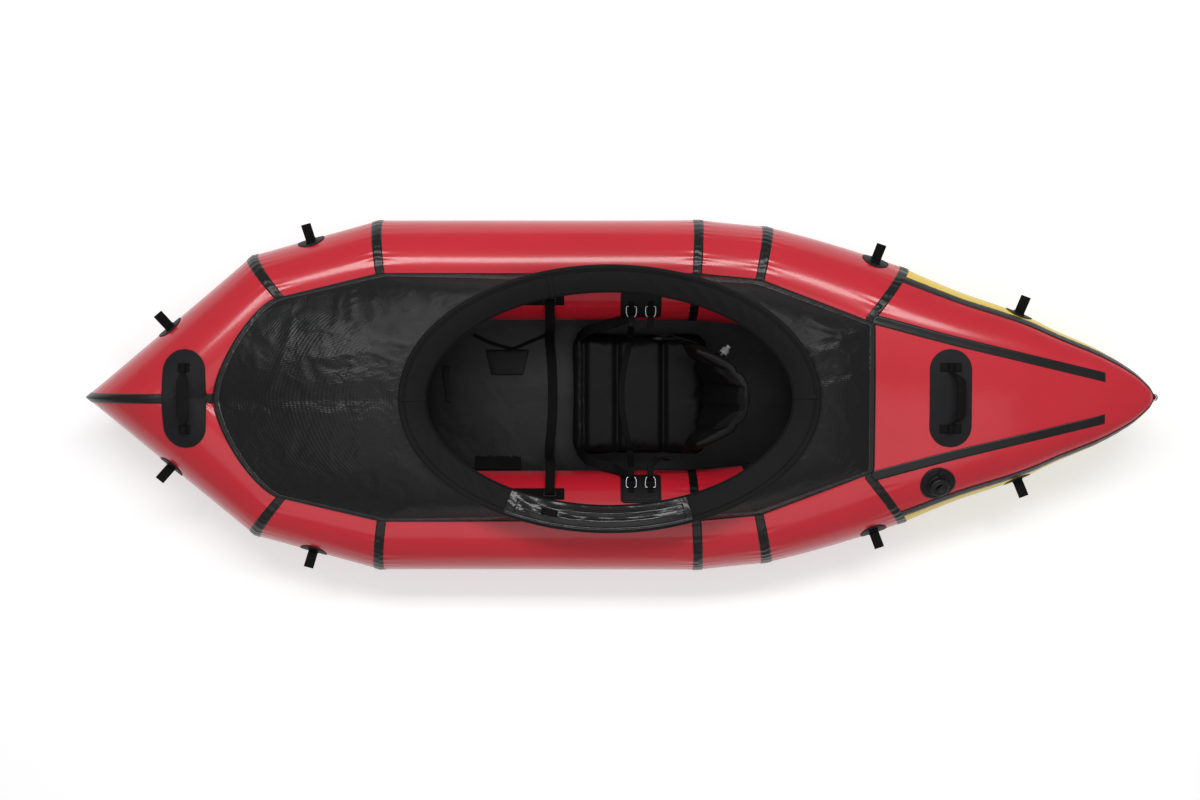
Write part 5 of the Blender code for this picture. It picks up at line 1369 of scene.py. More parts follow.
def loop_piece(name, frame_here, radius):
    """Makes the webbing of a tie loop: two tails on the patch and a fold that stands out."""
    point, out, up, along = frame_here
    half = [Vector((LOOP_SEAT + sqrt(radius**2 - v**2) - radius, v, 0)) for v in (0.022, 0.015, 0.009)]
    half += [Vector((LOOP_SEAT + 0.0004, 0.0042, 0)), Vector((0.0050, 0.0018, 0))]
    half += [Vector((LOOP_REACH * r, 0.0030 * s, 0)) for r, s in LOOP_FOLD]
    line = smooth_path(half + [Vector((v.x, -v.y, 0)) for v in reversed(half)], 5)
    line = [point + out * v.x + up * v.y for v in line]
    return ribbon(name, line, along * (WEBBING / 2), webbing, 0.0015)


def stitch_box(name, frame_here, width, height, lift):
    """Makes the raised thread of a sewn box, as a thin tube round a rectangle on the webbing."""
    point, out, up, along = frame_here
    corners = [(-1, -1), (1, -1), (1, 1), (-1, 1)]
    line = []
    for (a, b), (c, d) in zip(corners, corners[1:] + corners[:1]):
        for step in range(8):
            t = step / 8
            x, y = (a + (c - a) * t) * width / 2, (b + (d - b) * t) * height / 2
            spot = point + along * x + up * y
            line.append(land(spot, out) + out * lift)
    put(tube(name, line, 0.0004, webbing, 6, True), "hull", "black_webbing")


print("loop:", round(1000 * LOOP_REACH), "mm out of the patch")

# %% The eight tie loops


def sleeve_at(pair, side):
    """Gives the place function of a plain sleeve."""
    return lambda share, angle: mirrored(ring_point(sleeve_ring(pair, share), angle), side)


def stern_at(side):
    """Gives the place function of the stern's lobe."""
    return lambda run, angle: mirrored(ring_point(stern_ring(run), angle), side)


loop_spots = {
    "bow": (sleeves[0], 0.50, 20.0),
    "front": (sleeves[1], 0.47, 20.0),
    "quarter": (sleeves[4], 0.78, 20.0),
    "stern": (None, 0.5419, 11.5),
}
for word, side in sides.items():
    for spot, (pair, share, angle) in loop_spots.items():
        here = skin_frame(sleeve_at(pair, side) if pair else stern_at(side), share, radians(angle))
        name = spot + "_" + word
        round_patch("loop_patch_" + name, here)
        loop = loop_piece("loop_webbing_" + name, here, RADIUS if pair else 0.120)
        put(loop, "hull", "black_webbing", "tie_loop_" + name)
        for end, row in ((1, "up"), (-1, "low")):
            tail = (here[0] + here[2] * (0.015 * end), *here[1:])
            stitch_box("loop_stitch_%s_%s" % (name, row), tail, 0.018, 0.009, 0.0036)
print("loops:", len(loop_spots) * 2)

# %% Parts of a handle
HANDLE_HALF = 0.082
HANDLE_RISE = 0.036
FOOT_RADIUS = 0.005
GRIP_WIDE = 0.015
GRIP_THICK = 0.0026
GRIP = (
    (1.0, 0.0), (0.93, 0.0), (0.86, 0.0), (0.76, 0.30), (0.66, 0.72), (0.54, 0.95), (0.30, 1.0), (0.0, 1.0)
)
TUNNEL_START = 0.0675
TUNNEL_LENGTH = 0.0230
TUNNEL_RADIUS = 0.0062
TUNNEL_FLAP = 0.0215


def handle_patch(name, x, lift, node):
    """Makes the long round-ended patch of a handle, laid over the hull's top."""
    half, radius = 0.126, 0.0535
    stretch = half - radius

    def place(across, along):
        y = half * (2 * along - 1)
        beyond = max(abs(y) - stretch, 0)
        reach = sqrt(max(radius**2 - beyond**2, 0))
        return drop(x + reach * (2 * across - 1), y) + UP * lift

    piece = laid_cloth(name, 36, 90, (0.107, 0.252), place, patch_cloth, upward)
    put(thicken(piece, 0.0013), "hull", "black_tape", node)


def handle_webbing(name, body, x, level, lean):
    """Makes a carrying handle: a webbing arch, thicker in the grip, that turns about its feet."""
    stations = GRIP + tuple((-share, rise) for share, rise in reversed(GRIP[:-1]))
    line = smooth_path([Vector((share, rise, 0)) for share, rise in stations], 6)

    def place(around, along):
        spot = line[min(int(round(along * (len(line) - 1))), len(line) - 1)]
        rise = min(max(spot.y, 0.0), 1.0)
        closing = 1.0 if 0.001 < along < 0.999 else 0.02
        turn = 2 * pi * around
        square = (abs(cos(turn)) ** 4 + abs(sin(turn)) ** 4) ** -0.25
        full = (1 + (square - 1) * rise) * closing
        wide = (FOOT_RADIUS + (GRIP_WIDE - FOOT_RADIUS) * rise) * cos(turn) * full
        tall = (FOOT_RADIUS + (GRIP_THICK - FOOT_RADIUS) * rise) * sin(turn) * full
        tall += HANDLE_RISE * rise
        reach, height = wide * cos(lean) + tall * sin(lean), tall * cos(lean) - wide * sin(lean)
        return Vector((x + reach, HANDLE_HALF * spot.x, level + height))

    def from_grip(point):
        return point - Vector((x, 0, level + 0.02))

    piece = laid_cloth(name, 28, len(line) - 1, (0.07, 0.20), place, webbing, from_grip)
    put(piece, body, "black_webbing", body)


def handle_tunnel(name, x, level, side):
    """Makes the short cloth tunnel that holds one round foot of a handle."""

    def place(across, along):
        y = side * (TUNNEL_START + TUNNEL_LENGTH * across)
        turn = -1 + 2 * along
        if abs(turn) > 0.5:
            away = (abs(turn) - 0.5) / 0.5
            spot = x + (TUNNEL_RADIUS + away * TUNNEL_FLAP) * (1 if turn > 0 else -1)
            return Vector((spot, y, drop(spot, y).z + 0.0022 + 0.0035 * (1 - away) ** 6))
        angle = pi / 2 - turn / 0.5 * pi / 2
        close = 1.0 if across < 0.80 else 0.55
        return Vector((x + TUNNEL_RADIUS * cos(angle), y, level + TUNNEL_RADIUS * sin(angle) * close))

    piece = laid_cloth(name, 8, 48, (0.0165, 0.05), place, webbing, upward)
    put(thicken(piece, 0.0008), "hull", "black_webbing")


print("handle:", round(2000 * HANDLE_HALF), "mm between its ends")

# %% The two handles
handle_spots = {
    "bow": (-1.1075, 0.334395, radians(10), 0.0018),
    "stern": (0.8475, 0.307686, radians(35), 0.0007),
}
for word, (x, level, lean, lift) in handle_spots.items():
    handle_patch(word + "_patch_cloth", x, lift, word + "_handle_patch")
    handle_webbing(word + "_handle_webbing", word + "_handle", x, level, lean)
    for side_word, side in sides.items():
        handle_tunnel("%s_tunnel_%s" % (word, side_word), x, level, side)
print("handles:", len(handle_spots))

# %% Bow tape behind the handle


def bow_tape_tail_place(across, along):
    """Gives a place on the short tape from the bow's handle patch to the deck."""
    y = (across - 0.5) * TAPE
    spot = drop(-1.060 + 0.026 * along, y)
    ridge = drop(spot.x, TAPE / 2).z
    return Vector((spot.x, y, max(spot.z, ridge) + 0.0006))


bow_tail = laid_cloth("bow_tape_tail", 8, 12, (TAPE, 0.026), bow_tape_tail_place, tape_film, upward)
put(thicken(bow_tail, 0.0008), "hull", "black_tape")
print("bow tape tail:", len(bow_tail.data.polygons), "faces")

# %% [markdown]
# ## Seat cushion and backrest
# Both are air cushions of black nylon. Air makes a cushion bulge between its seams, so each starts as
# a slightly small closed form, is remeshed evenly and blown up by Blender's cloth solver, with the way
# that a point may move kept short. The welded channels are pressed in after that, because the remesh
# would wipe them away.

# %% Cloth under air pressure


def blown_up(pieces, voxel, reach, frames=20):
    """Blows up closed pieces with the cloth solver, and gives each its new mesh."""
    scene = bpy.context.scene
    for piece in pieces:
        even = piece.modifiers.new("even faces", "REMESH")
        even.mode = "VOXEL"
        even.voxel_size = voxel
        graph = bpy.context.evaluated_depsgraph_get()
        mesh = bpy.data.meshes.new_from_object(piece.evaluated_get(graph))
        piece.modifiers.remove(even)
        piece.data = mesh
        solver = piece.modifiers.new("air", "CLOTH")
        solver.settings.quality = 4
        solver.settings.mass = 0.3
        solver.settings.tension_stiffness = 18.0
        solver.settings.compression_stiffness = 18.0
        solver.settings.shear_stiffness = 6.0
        solver.settings.bending_stiffness = 0.6
        solver.settings.use_pressure = True
        solver.settings.uniform_pressure_force = 4.0
        solver.settings.effector_weights.gravity = 0.0
        solver.point_cache.frame_start = 1
        solver.point_cache.frame_end = frames
    for frame_number in range(1, frames + 1):
        scene.frame_set(frame_number)
    graph = bpy.context.evaluated_depsgraph_get()
    for piece in pieces:
        moved = [vert.co.copy() for vert in piece.evaluated_get(graph).data.vertices]
        solver = piece.modifiers["air"]
        piece.modifiers.remove(solver)
        for vert, place in zip(piece.data.vertices, moved):
            step = place - vert.co
            vert.co += step * min(1.0, reach / max(step.length, 1e-9))
    scene.frame_set(1)


def finer(piece):
    """Adds one subdivision to a finished cushion."""
    step = piece.modifiers.new("finer", "SUBSURF")
    step.levels = step.render_levels = 1
    for face in piece.data.polygons:
        face.use_smooth = True
    return piece


print("cloth solver:", "on")

# %% Seat cushion before the air
SEAT_FRONT = -0.137
SEAT_LENGTH = 0.388
SEAT_WIDTH = 0.352
SEAT_THICK = 0.088
SEAT_BASE = 0.0014
SEAT_CHANNELS = (0.115, 0.345, 0.665)
CHANNEL_HALF = 0.0075
CHANNEL_DEPTH = 0.017


def seat_form():
    """Makes the seat cushion's closed form, with rounded corners and a crowned top."""
    shape = bmesh.new()
    bmesh.ops.create_cube(shape, size=1.0)
    size = (SEAT_LENGTH - 0.012, SEAT_WIDTH - 0.014, SEAT_THICK - 0.016)
    bmesh.ops.scale(shape, vec=size, verts=shape.verts)
    upright = [e for e in shape.edges if abs(e.verts[0].co.z - e.verts[1].co.z) > 0.01]
    bmesh.ops.bevel(shape, geom=upright, offset=0.034, segments=5, profile=0.5, affect="EDGES", material=-1)
    level = [e for e in shape.edges if abs(e.verts[0].co.z - e.verts[1].co.z) < 1e-6]
    rims = [e for e in level if len(e.link_faces) == 2 and abs(e.calc_face_angle(0.0)) > 1.0]
    bmesh.ops.bevel(shape, geom=rims, offset=0.018, segments=4, profile=0.5, affect="EDGES", material=-1)
    bmesh.ops.triangulate(shape, faces=shape.faces)
    bmesh.ops.subdivide_edges(shape, edges=shape.edges, cuts=3, use_grid_fill=True)
    middle = Vector((SEAT_FRONT + SEAT_LENGTH / 2, 0, SEAT_BASE + (SEAT_THICK - 0.016) / 2))
    bmesh.ops.translate(shape, vec=middle, verts=shape.verts)
    return finish_mesh("seat_cushion", shape, seat_cloth)


seat = seat_form()
print("seat form:", len(seat.data.polygons), "faces")

# %% Backrest before the air
BACK_BASE = Vector((SEAT_FRONT + SEAT_LENGTH - 0.021, 0, 0.0013 + SEAT_THICK + 0.0012))
BACK_CHANNELS = 5
BACK_CHANNEL_DEPTH = 0.0075


def back_width(level):
    """Gives the backrest's half width at a share of its height."""
    return (0.300 - 0.064 * level) / 2


def back_middle(across, level):
    """Gives a place on the backrest's middle surface, from wing to wing and from base to top."""
    half = back_width(level)
    wrap = 0.075 + 0.065 * level
    side = abs(across)
    z = 0.085 * side**1.5 * (1 - level) + 0.226 * level * (1 - 0.10 * side * side)
    return BACK_BASE + Vector((0.100 * level - wrap * side**2.4, half * across, z))


def back_frame(across, level, step=0.01):
    """Gives the backrest's middle place and its direction to the rear."""
    wide = back_middle(min(across + step, 1), level) - back_middle(max(across - step, -1), level)
    tall = back_middle(across, min(level + step, 1)) - back_middle(across, max(level - step, 0))
    return back_middle(across, level), wide.cross(tall).normalized()


def back_place(around, along):
    """Gives a place on the backrest's skin: up its front face, then down its rear face."""
    across = (-1 + 2 * along) * 0.985
    turn = 2 * pi * around
    level = 0.5 - 0.488 * cos(turn) * abs(cos(turn)) ** -0.35 if abs(cos(turn)) > 1e-6 else 0.5
    middle, normal = back_frame(across, level)
    full = sqrt(1 - abs(across) ** 7)
    bulge = sin(turn) * max(abs(sin(turn)), 1e-9) ** -0.45
    return middle - normal * bulge * (0.004 + 0.0135 * full)


def back_form():
    """Makes the backrest cushion's closed form."""
    piece = laid_cloth("backrest_cushion", 96, 100, (0.5, 0.4), back_place, seat_cloth, None)
    shape = bmesh.new()
    shape.from_mesh(piece.data)
    bmesh.ops.remove_doubles(shape, verts=shape.verts, dist=1e-6)
    rims = [edge for edge in shape.edges if len(edge.link_faces) == 1]
    caps = bmesh.ops.holes_fill(shape, edges=rims, sides=0)["faces"]
    bmesh.ops.poke(shape, faces=caps)
    bmesh.ops.recalc_face_normals(shape, faces=shape.faces)
    print("backrest open edges:", sum(len(e.link_faces) != 2 for e in shape.edges), "caps:", len(caps))
    shape.to_mesh(piece.data)
    shape.free()
    return piece


back = back_form()
print("backrest form:", len(back.data.polygons), "faces")

# %% Blow up, then press in the channels
blown_up([seat], 0.006, 0.010)
blown_up([back], 0.005, 0.005)


def finish_seat(piece):
    """Presses the cross channels into the seat and keeps it in its own space on the floor."""
    for vert in piece.data.vertices:
        place = vert.co
        share = (place.x - SEAT_FRONT) / SEAT_LENGTH
        top = min(max((place.z - 0.045) / 0.03, 0.0), 1.0)
        y = place.y / (SEAT_WIDTH / 2)
        dip, nearest = 0.0, 1.0
        for channel in SEAT_CHANNELS:
            dip += exp(-(((share - channel) * SEAT_LENGTH / CHANNEL_HALF) ** 2))
            nearest = min(nearest, abs(share - channel))
        wrinkle = 0.0011 * noise.noise(Vector((place.x * 60.0, place.y * 14.0, 4.0))) * exp(-nearest / 0.06)
        place.z -= CHANNEL_DEPTH * dip * top * (1 - 0.6 * abs(y) ** 6)
        place.z += wrinkle * top
        place.y *= 1 - 0.020 * dip * min(1.0, place.z / 0.03)
        place.z = min(max(place.z, SEAT_BASE), SEAT_BASE + SEAT_THICK + 0.002)
        place.x = min(max(place.x, SEAT_FRONT - 0.001), SEAT_FRONT + SEAT_LENGTH + 0.001)
        place.y = min(max(place.y, -SEAT_WIDTH / 2), SEAT_WIDTH / 2)


finish_seat(seat)
print("seat channels:", len(SEAT_CHANNELS))

# %% Channels of the backrest


def finish_back(piece):
    """Presses the upright channels into both faces of the backrest."""
    samples = [(-1 + i / 40, j / 30) for i in range(81) for j in range(31)]
    tree = KDTree(len(samples))
    for number, (across, level) in enumerate(samples):
        tree.insert(back_middle(across, level), number)
    tree.balance()
    for vert in piece.data.vertices:
        across, level = samples[tree.find(vert.co)[1]]
        middle, normal = back_frame(across, level)
        offset = (vert.co - middle).dot(normal)
        line = (vert.co.y / back_width(level) + 1) / 2
        wave = abs(cos(pi * BACK_CHANNELS * line)) ** 10
        edge = min(1.0, abs(offset) / 0.012) * (1 if 0.04 < line < 0.96 else 0)
        vert.co -= normal * (BACK_CHANNEL_DEPTH * wave * edge * (1 if offset > 0 else -1))


finish_back(back)
finer(seat)
finer(back)
put(seat, "hull", "black_fabric", "seat_base")
put(back, "seat_backrest", "black_fabric", "seat_backrest")
for piece in (seat, back):
    piece.data.materials.clear()
    piece.data.materials.append(seat_cloth)
print("cushions:", len(seat.data.polygons), "and", len(back.data.polygons), "faces")

# %% [markdown]
# ## Inflation fittings of the cushions
# Each cushion has a soft stem with a small plastic mouthpiece that pulls out to open. The stem belongs
# to the cushion, and the mouthpiece slides on it.

# %% Stems and mouthpieces
SEAT_STEM = (Vector((0.16564, 0.15136, 0.0733)), Vector((0.106042, 0.15136, 0.09039)))
BACK_STEM = (Vector((0.25979, 0.10464, 0.25315)), Vector((0.27412, 0.120959, 0.249644)))


def mouth_outline(radius, length):
    """Gives a mouthpiece's outline: a collar over the stem's tip and a nozzle with a lip."""
    wall = radius * 0.35
    return [
        (radius * 1.04, -length * 0.5),
        (radius + wall, -length * 0.5),
        (radius + wall * 1.25, -length * 0.42),
        (radius + wall, -length * 0.34),
        (radius + wall, length * 0.16),
        (radius * 0.80, length * 0.30),
        (radius * 0.72, length * 0.55),
        (radius * 0.84, length * 0.62),
        (radius * 0.80, length * 0.70),
        (radius * 0.34, length * 0.70),
        (radius * 0.34, 0.0004),
        (radius * 1.04, 0.0004),
    ]


grey_plastic = moulded("grey nozzle plastic", (0.20, 0.20, 0.21), (0.14, 0.14, 0.15), 0.22)
for word, (start, tip), radius, body, finish in (
    ("seat", SEAT_STEM, 0.005, "hull", plastic),
    ("backrest", BACK_STEM, 0.008, "seat_backrest", grey_plastic),
):
    axis = (tip - start).normalized()
    root = start - axis * 0.010
    stem = tube(word + "_stem", [root.lerp(tip, i / 8) for i in range(9)], radius, plastic, 20)
    put(stem, body, "black_plastic")
    mouth = turned(word + "_nozzle", mouth_outline(radius, 0.022), tip, axis, finish, 32)
    put(mouth, word + "_mouthpiece", "black_plastic", word + "_mouthpiece")
flange_outline = [(0.008, 0.002), (0.016, 0.002), (0.016, 0.0032), (0.008, 0.0032)]
back_axis = BACK_STEM[1] - BACK_STEM[0]
flange = turned("backrest_flange", flange_outline, BACK_STEM[0], back_axis, plastic, 32)
put(flange, "seat_backrest", "black_plastic")
print("mouthpieces: 2")

# %% [markdown]
# ## D-rings and their plates
# Four steel D-rings hang on the cockpit side of the side tubes, two to a plate. Each ring turns in a
# short webbing bridge sewn on the plate. The plates are cloth with rounded corners and a sewn border.

# %% Plates on the side tube


def side_tube_point(x, angle, side, lift=0.0):
    """Gives a place on the side tube at a distance along the boat and an angle round the tube."""
    start, end = ring_point(rings["side"], angle, lift), ring_point(rings["aft"], angle, lift)
    return mirrored(start.lerp(end, (x - start.x) / (end.x - start.x)), side)


def side_tube_plate(name, x, length, low, high, corner, side, finish, node):
    """Makes a cloth plate with rounded corners on the cockpit side of the side tube."""
    height = radians(high - low) * RADIUS

    def place(along, across):
        v = (2 * across - 1) * height / 2
        past = max(abs(v) - (height / 2 - corner), 0)
        reach = length / 2 - corner + sqrt(max(corner**2 - past**2, 0))
        angle = pi - (radians((low + high) / 2) + v / RADIUS)
        return side_tube_point(x + reach * (2 * along - 1), angle, side, 0.0002)

    def off_tube(point):
        return point - mirrored(Vector((point.x, SIDE_Y, AXIS_Z)), side)

    piece = laid_cloth(name, 40, 28, (length, height), place, finish, off_tube)
    put(thicken(piece, 0.0014), "hull", "black_tape", node)


def plate_stitch(name, x, length, low, high, side):
    """Makes the sewn line just inside a plate's edge."""
    corners = [(-1, low), (1, low), (1, high), (-1, high)]
    line = []
    for (a, b), (c, d) in zip(corners, corners[1:] + corners[:1]):
        for step in range(10):
            t = step / 10
            angle = pi - radians(b + (d - b) * t)
            line.append(side_tube_point(x + (a + (c - a) * t) * length / 2, angle, side, 0.0017))
    put(tube(name, line, 0.0005, webbing, 6, True), "hull", "black_tape")


def tube_axes(x, degrees, side):
    """Gives a place on the side tube, with its outward and upslope directions."""
    angle = radians(degrees)
    out = Vector((0, -side * cos(angle), sin(angle)))
    up = Vector((0, side * sin(angle), cos(angle)))
    return side_tube_point(x, pi - angle, side), out, up


RING_PLATE_X = 0.057
RING_X = {"fore": 0.032, "aft": 0.082}
RING_WIRE = 0.002
for word, side in sides.items():
    plate = "ring_plate_" + word
    side_tube_plate("ring_plate_cloth_" + word, RING_PLATE_X, 0.106, 20, 64, 0.010, side, patch_cloth, plate)
    plate_stitch("ring_plate_stitch_" + word, RING_PLATE_X, 0.096, 23, 61, side)
print("plates:", len(sides))

# %% D-rings and webbing bridges
RING_WIDE = 0.013
RING_DEEP = 0.028
RING_BEND = ((0.55, 0), (0.92, 0.04), (1, 0.20), (1, 0.55), (0.86, 0.86), (0.45, 1))


def ring_pivot(x, side):
    """Gives the middle of a D-ring's straight bar."""
    return Vector((x, side * (0.235866 - 0.00072 * (x - 0.032)), 0.230679))


def ring_reach(side):
    """Gives the direction in which a D-ring hangs from its bar."""
    return Vector((0, -side * cos(radians(12)), -sin(radians(12))))


def d_ring(name, x, side):
    """Makes one D-ring of round wire."""
    pivot, reach = ring_pivot(x, side), ring_reach(side)
    half = [(RING_WIDE * a, RING_DEEP * b) for a, b in RING_BEND]
    line = [pivot + Vector((a, 0, 0)) + reach * b for a, b in half + [(-a, b) for a, b in reversed(half)]]
    piece = tube(name + "_wire", smooth_path(line, 5, True), RING_WIRE, steel, 14, True)
    put(piece, name, "ring_steel", name)


def ring_bridge(name, x, side):
    """Makes the short webbing bridge that holds a D-ring's bar on its plate."""
    point, out, up = tube_axes(x, 45, side)
    radius, middle = 0.0032, 0.0038
    line = [(0.0012, -0.0150), (0.0019, -0.0095), (0.0022, -0.0052)]
    line += [(middle + radius * sin(radians(a)), -radius * cos(radians(a))) for a in (10, 50, 90, 130, 170)]
    line += [(0.0022, 0.0052), (0.0019, 0.0095), (0.0012, 0.0150)]
    path = smooth_path([point + out * u + up * v for u, v in line], 4)
    piece = ribbon(name, path, Vector((0.0075, 0, 0)), webbing, 0.0012)
    put(piece, "hull", "black_webbing")


for word, side in sides.items():
    for spot, x in RING_X.items():
        d_ring("d_ring_%s_%s" % (spot, word), x, side)
        ring_bridge("ring_bridge_%s_%s" % (spot, word), x, side)
print("rings:", len(RING_X) * 2)

# %% [markdown]
# ## Strap anchors and ladder buckles
# In front of the seat a webbing strip is glued on each side tube, and a ladder buckle is sewn on it.
# The buckle is a flat frame with two slots. It is built of bars with rounded edges, so that the strap
# can be seen passing through it.

# %% Anchors and buckles
ANCHOR_X = -0.211
BUCKLE_X = -0.180
BUCKLE_ANGLE = 52.5


def ladder_buckle(name, side):
    """Makes a ladder buckle: two rails and three bars."""
    point, out, up = tube_axes(BUCKLE_X, BUCKLE_ANGLE, side)
    turn = Matrix((Vector((1, 0, 0)), up, out)).transposed().to_4x4()
    shape = bmesh.new()
    bars = [((x, 0, 0), (0.004, 0.022, 0.0042)) for x in (0.015, -0.015)]
    bars += [((0, y, 0), (0.030, 0.0036, 0.0042)) for y in (0.0094, -0.0094)]
    bars += [((0, 0, 0.0006), (0.030, 0.0040, 0.0034))]
    for middle, size in bars:
        made = bmesh.ops.create_cube(shape, size=1.0)["verts"]
        bmesh.ops.scale(shape, vec=size, verts=made)
        bmesh.ops.translate(shape, vec=middle, verts=made)
    edges = shape.edges[:]
    bmesh.ops.bevel(shape, geom=edges, offset=0.0009, segments=2, profile=0.5, affect="EDGES", material=-1)
    bmesh.ops.transform(shape, matrix=Matrix.Translation(point + out * 0.0044) @ turn, verts=shape.verts)
    bmesh.ops.recalc_face_normals(shape, faces=shape.faces)
    put(finish_mesh(name, shape, plastic), "hull", "black_plastic")


for word, side in sides.items():
    anchor = "strap_anchor_" + word
    side_tube_plate("anchor_cloth_" + word, ANCHOR_X, 0.138, 45, 60, 0.003, side, webbing, anchor)
    plate_stitch("anchor_stitch_" + word, ANCHOR_X - 0.028, 0.060, 47, 58, side)
    ladder_buckle("ladder_buckle_" + word, side)
print("buckles:", len(sides))

# %% [markdown]
# ## Straps
# All straps are flat webbing on smooth paths. The front strap runs from buckle to buckle over the
# floor. Two straps come from the forward rings to the seat, a long one crosses over the cushion, and
# the rear rings hold the backrest's wings. Where a strap is tied to something that swings, it is kept
# off both bodies.

# %% Strap paths
NARROW = 0.016
CLOTH = 0.0016
STRAP_STEPS = 5


def ring_fold(x, side, above):
    """Gives the start of a strap that is folded round a D-ring's far bar."""
    reach = ring_reach(side)
    eye = ring_pivot(x, side) + reach * RING_DEEP
    normal = Vector((0, -reach.z, reach.y)) * side
    if (normal.z > 0) != above:
        normal = -normal
    r = RING_WIRE + 0.0005 + CLOTH / 2
    line = [(NARROW * 1.6, -CLOTH), (NARROW * 0.7, -CLOTH), (r * 0.6, -r)]
    line += [(-r * sin(radians(a)), -r * cos(radians(a))) for a in (20, 55, 90, 125, 160)]
    line += [(r * 0.6, r), (NARROW * 0.7, CLOTH)]
    return [eye + reach * u + normal * v for u, v in line]


def level_halves(line, halves):
    """Makes each half width square to its strap."""
    fixed = []
    for i, half in enumerate(halves):
        tangent = (line[min(i + 1, len(line) - 1)] - line[max(i - 1, 0)]).normalized()
        square = half - tangent * half.dot(tangent)
        fixed.append(square.normalized() * half.length)
    return fixed


def strap(name, points, halves, body, *nodes, finish=webbing):
    """Makes a strap through points, with a half width at each, or one half width for all."""
    if isinstance(halves, Vector):
        halves = [halves] * len(points)
    line = smooth_path(points, STRAP_STEPS)
    piece = ribbon(name, line, level_halves(line, smooth_path(halves, STRAP_STEPS)), finish, CLOTH)
    if body is not None:
        return put(piece, body, "black_webbing", *nodes)
    if nodes:
        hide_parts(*nodes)
    return piece


print("strap cloth:", CLOTH * 1000, "mm thick")

# %% Front strap
DROP_Y = SIDE_Y - RADIUS - 0.0264
BUCKLE_LACING = ((0.0047, 0.0035), (0.0050, 0.0072), (0.0010, 0.0088), (-0.0060, 0.0080), (-0.0150, 0.0070))


def front_strap_half():
    """Gives the starboard half of the front strap's path: through the buckle, down and inward."""
    point, out, up = tube_axes(BUCKLE_X, BUCKLE_ANGLE, 1)
    line = [point + up * v + out * u for v, u in BUCKLE_LACING]
    fall = [
        (0, DROP_Y + 0.004, 0.175),
        (-0.003, DROP_Y - 0.002, AXIS_Z),
        (-0.006, DROP_Y - 0.016, AXIS_Z * 0.42),
        (-0.006, DROP_Y - 0.040, 0.0105),
        (-0.003, DROP_Y - 0.070, 0.0062),
        (0, DROP_Y / 3, 0.0068),
    ]
    return line + [Vector((BUCKLE_X + x, y, z)) for x, y, z in fall]


half = front_strap_half()
middle_point = Vector((BUCKLE_X + 0.001, 0, 0.0072))
whole = half + [middle_point] + [Vector((p.x, -p.y, p.z)) for p in reversed(half)]
strap("front_strap_webbing", whole, Vector((WEBBING / 2, 0, 0)), "hull", "front_strap")
print("front strap:", round(path_length(smooth_path(whole, STRAP_STEPS)), 3), "m")

# %% Straps at the forward rings
seat_tree = tree_of(seat)


def seat_top(x, y):
    """Gives a place just over the seat cushion."""
    hit = seat_tree.ray_cast(Vector((x, y, 0.4)), -UP)
    return (hit[0] if hit[0] is not None else Vector((x, y, 0.06))) + UP * (CLOTH * 0.9)


def on_seat(point):
    """Moves a point just off the nearest place of the seat cushion's skin."""
    spot, normal = seat_tree.find_nearest(point)[:2]
    return spot + normal * CLOTH


EDGE_Y = 0.150
NARROW_HALF = Vector((NARROW / 2, 0, 0))
cross_y = (EDGE_Y, 0.125, 0.10, 0.06, 0.02)
middle_line = [
    seat_top(0.032 - 0.024 * cos(y / EDGE_Y * pi / 2), y)
    for y in cross_y + tuple(-y for y in reversed(cross_y))
]
strap("cross_strap_webbing", middle_line, NARROW_HALF, "hull", "cross_strap")
for word, side in sides.items():
    fold = ring_fold(RING_X["fore"], side, False)
    lead = [Vector((0.032, side * y, z)) for y, z in ((0.185, 0.185), (0.172, 0.125), (0.164, 0.088))]
    points = fold + lead + [mirrored(middle_line[0], side)]
    drop_strap = strap("ring_strap_fore_" + word, points, NARROW_HALF, None)
    tuple(lead[0])
    tuple(fold[8])
    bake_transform(drop_strap)
    eye = ring_pivot(RING_X["fore"], side) + ring_reach(side) * RING_DEEP
    path = [
        eye + Vector((-0.004, 0, -0.003)),
        eye + Vector((-0.014, side * -0.008, -0.012)),
        Vector((-0.012, side * 0.192, 0.174)),
        Vector((-0.040, side * 0.184, 0.156)),
        Vector((-0.082, side * 0.173, 0.120)),
        on_seat(Vector((-0.112, side * 0.170, 0.088))),
        on_seat(Vector((-0.128, side * 0.172, 0.062))),
    ]
    halves = [Vector((0.0, 0.008 * side, 0.004))] * 2 + [Vector((0.002, 0.0115 * side, 0.006))] * 5
    forward = strap("seat_corner_strap_" + word, path, halves, None)
    tuple(path[2])
    tuple(path[0])
    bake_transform(forward)
print("cross strap:", round(path_length(middle_line), 3), "m over the seat")

# %% Straps of the backrest
back_tree = tree_of(back)


def wing_place(side, across):
    """Gives a place just off the outer face of a backrest wing, with its up direction."""
    middle, normal = back_frame(across, 0.5)
    if normal.y < 0:
        normal = -normal
    hit = back_tree.ray_cast(middle + normal * 0.08, -normal)
    spot = hit[0] if hit[0] is not None else middle + normal * 0.02
    up = (back_middle(across, 0.6) - back_middle(across, 0.4)).normalized()
    return mirrored(spot + normal * 0.0016, side), mirrored(up, side)


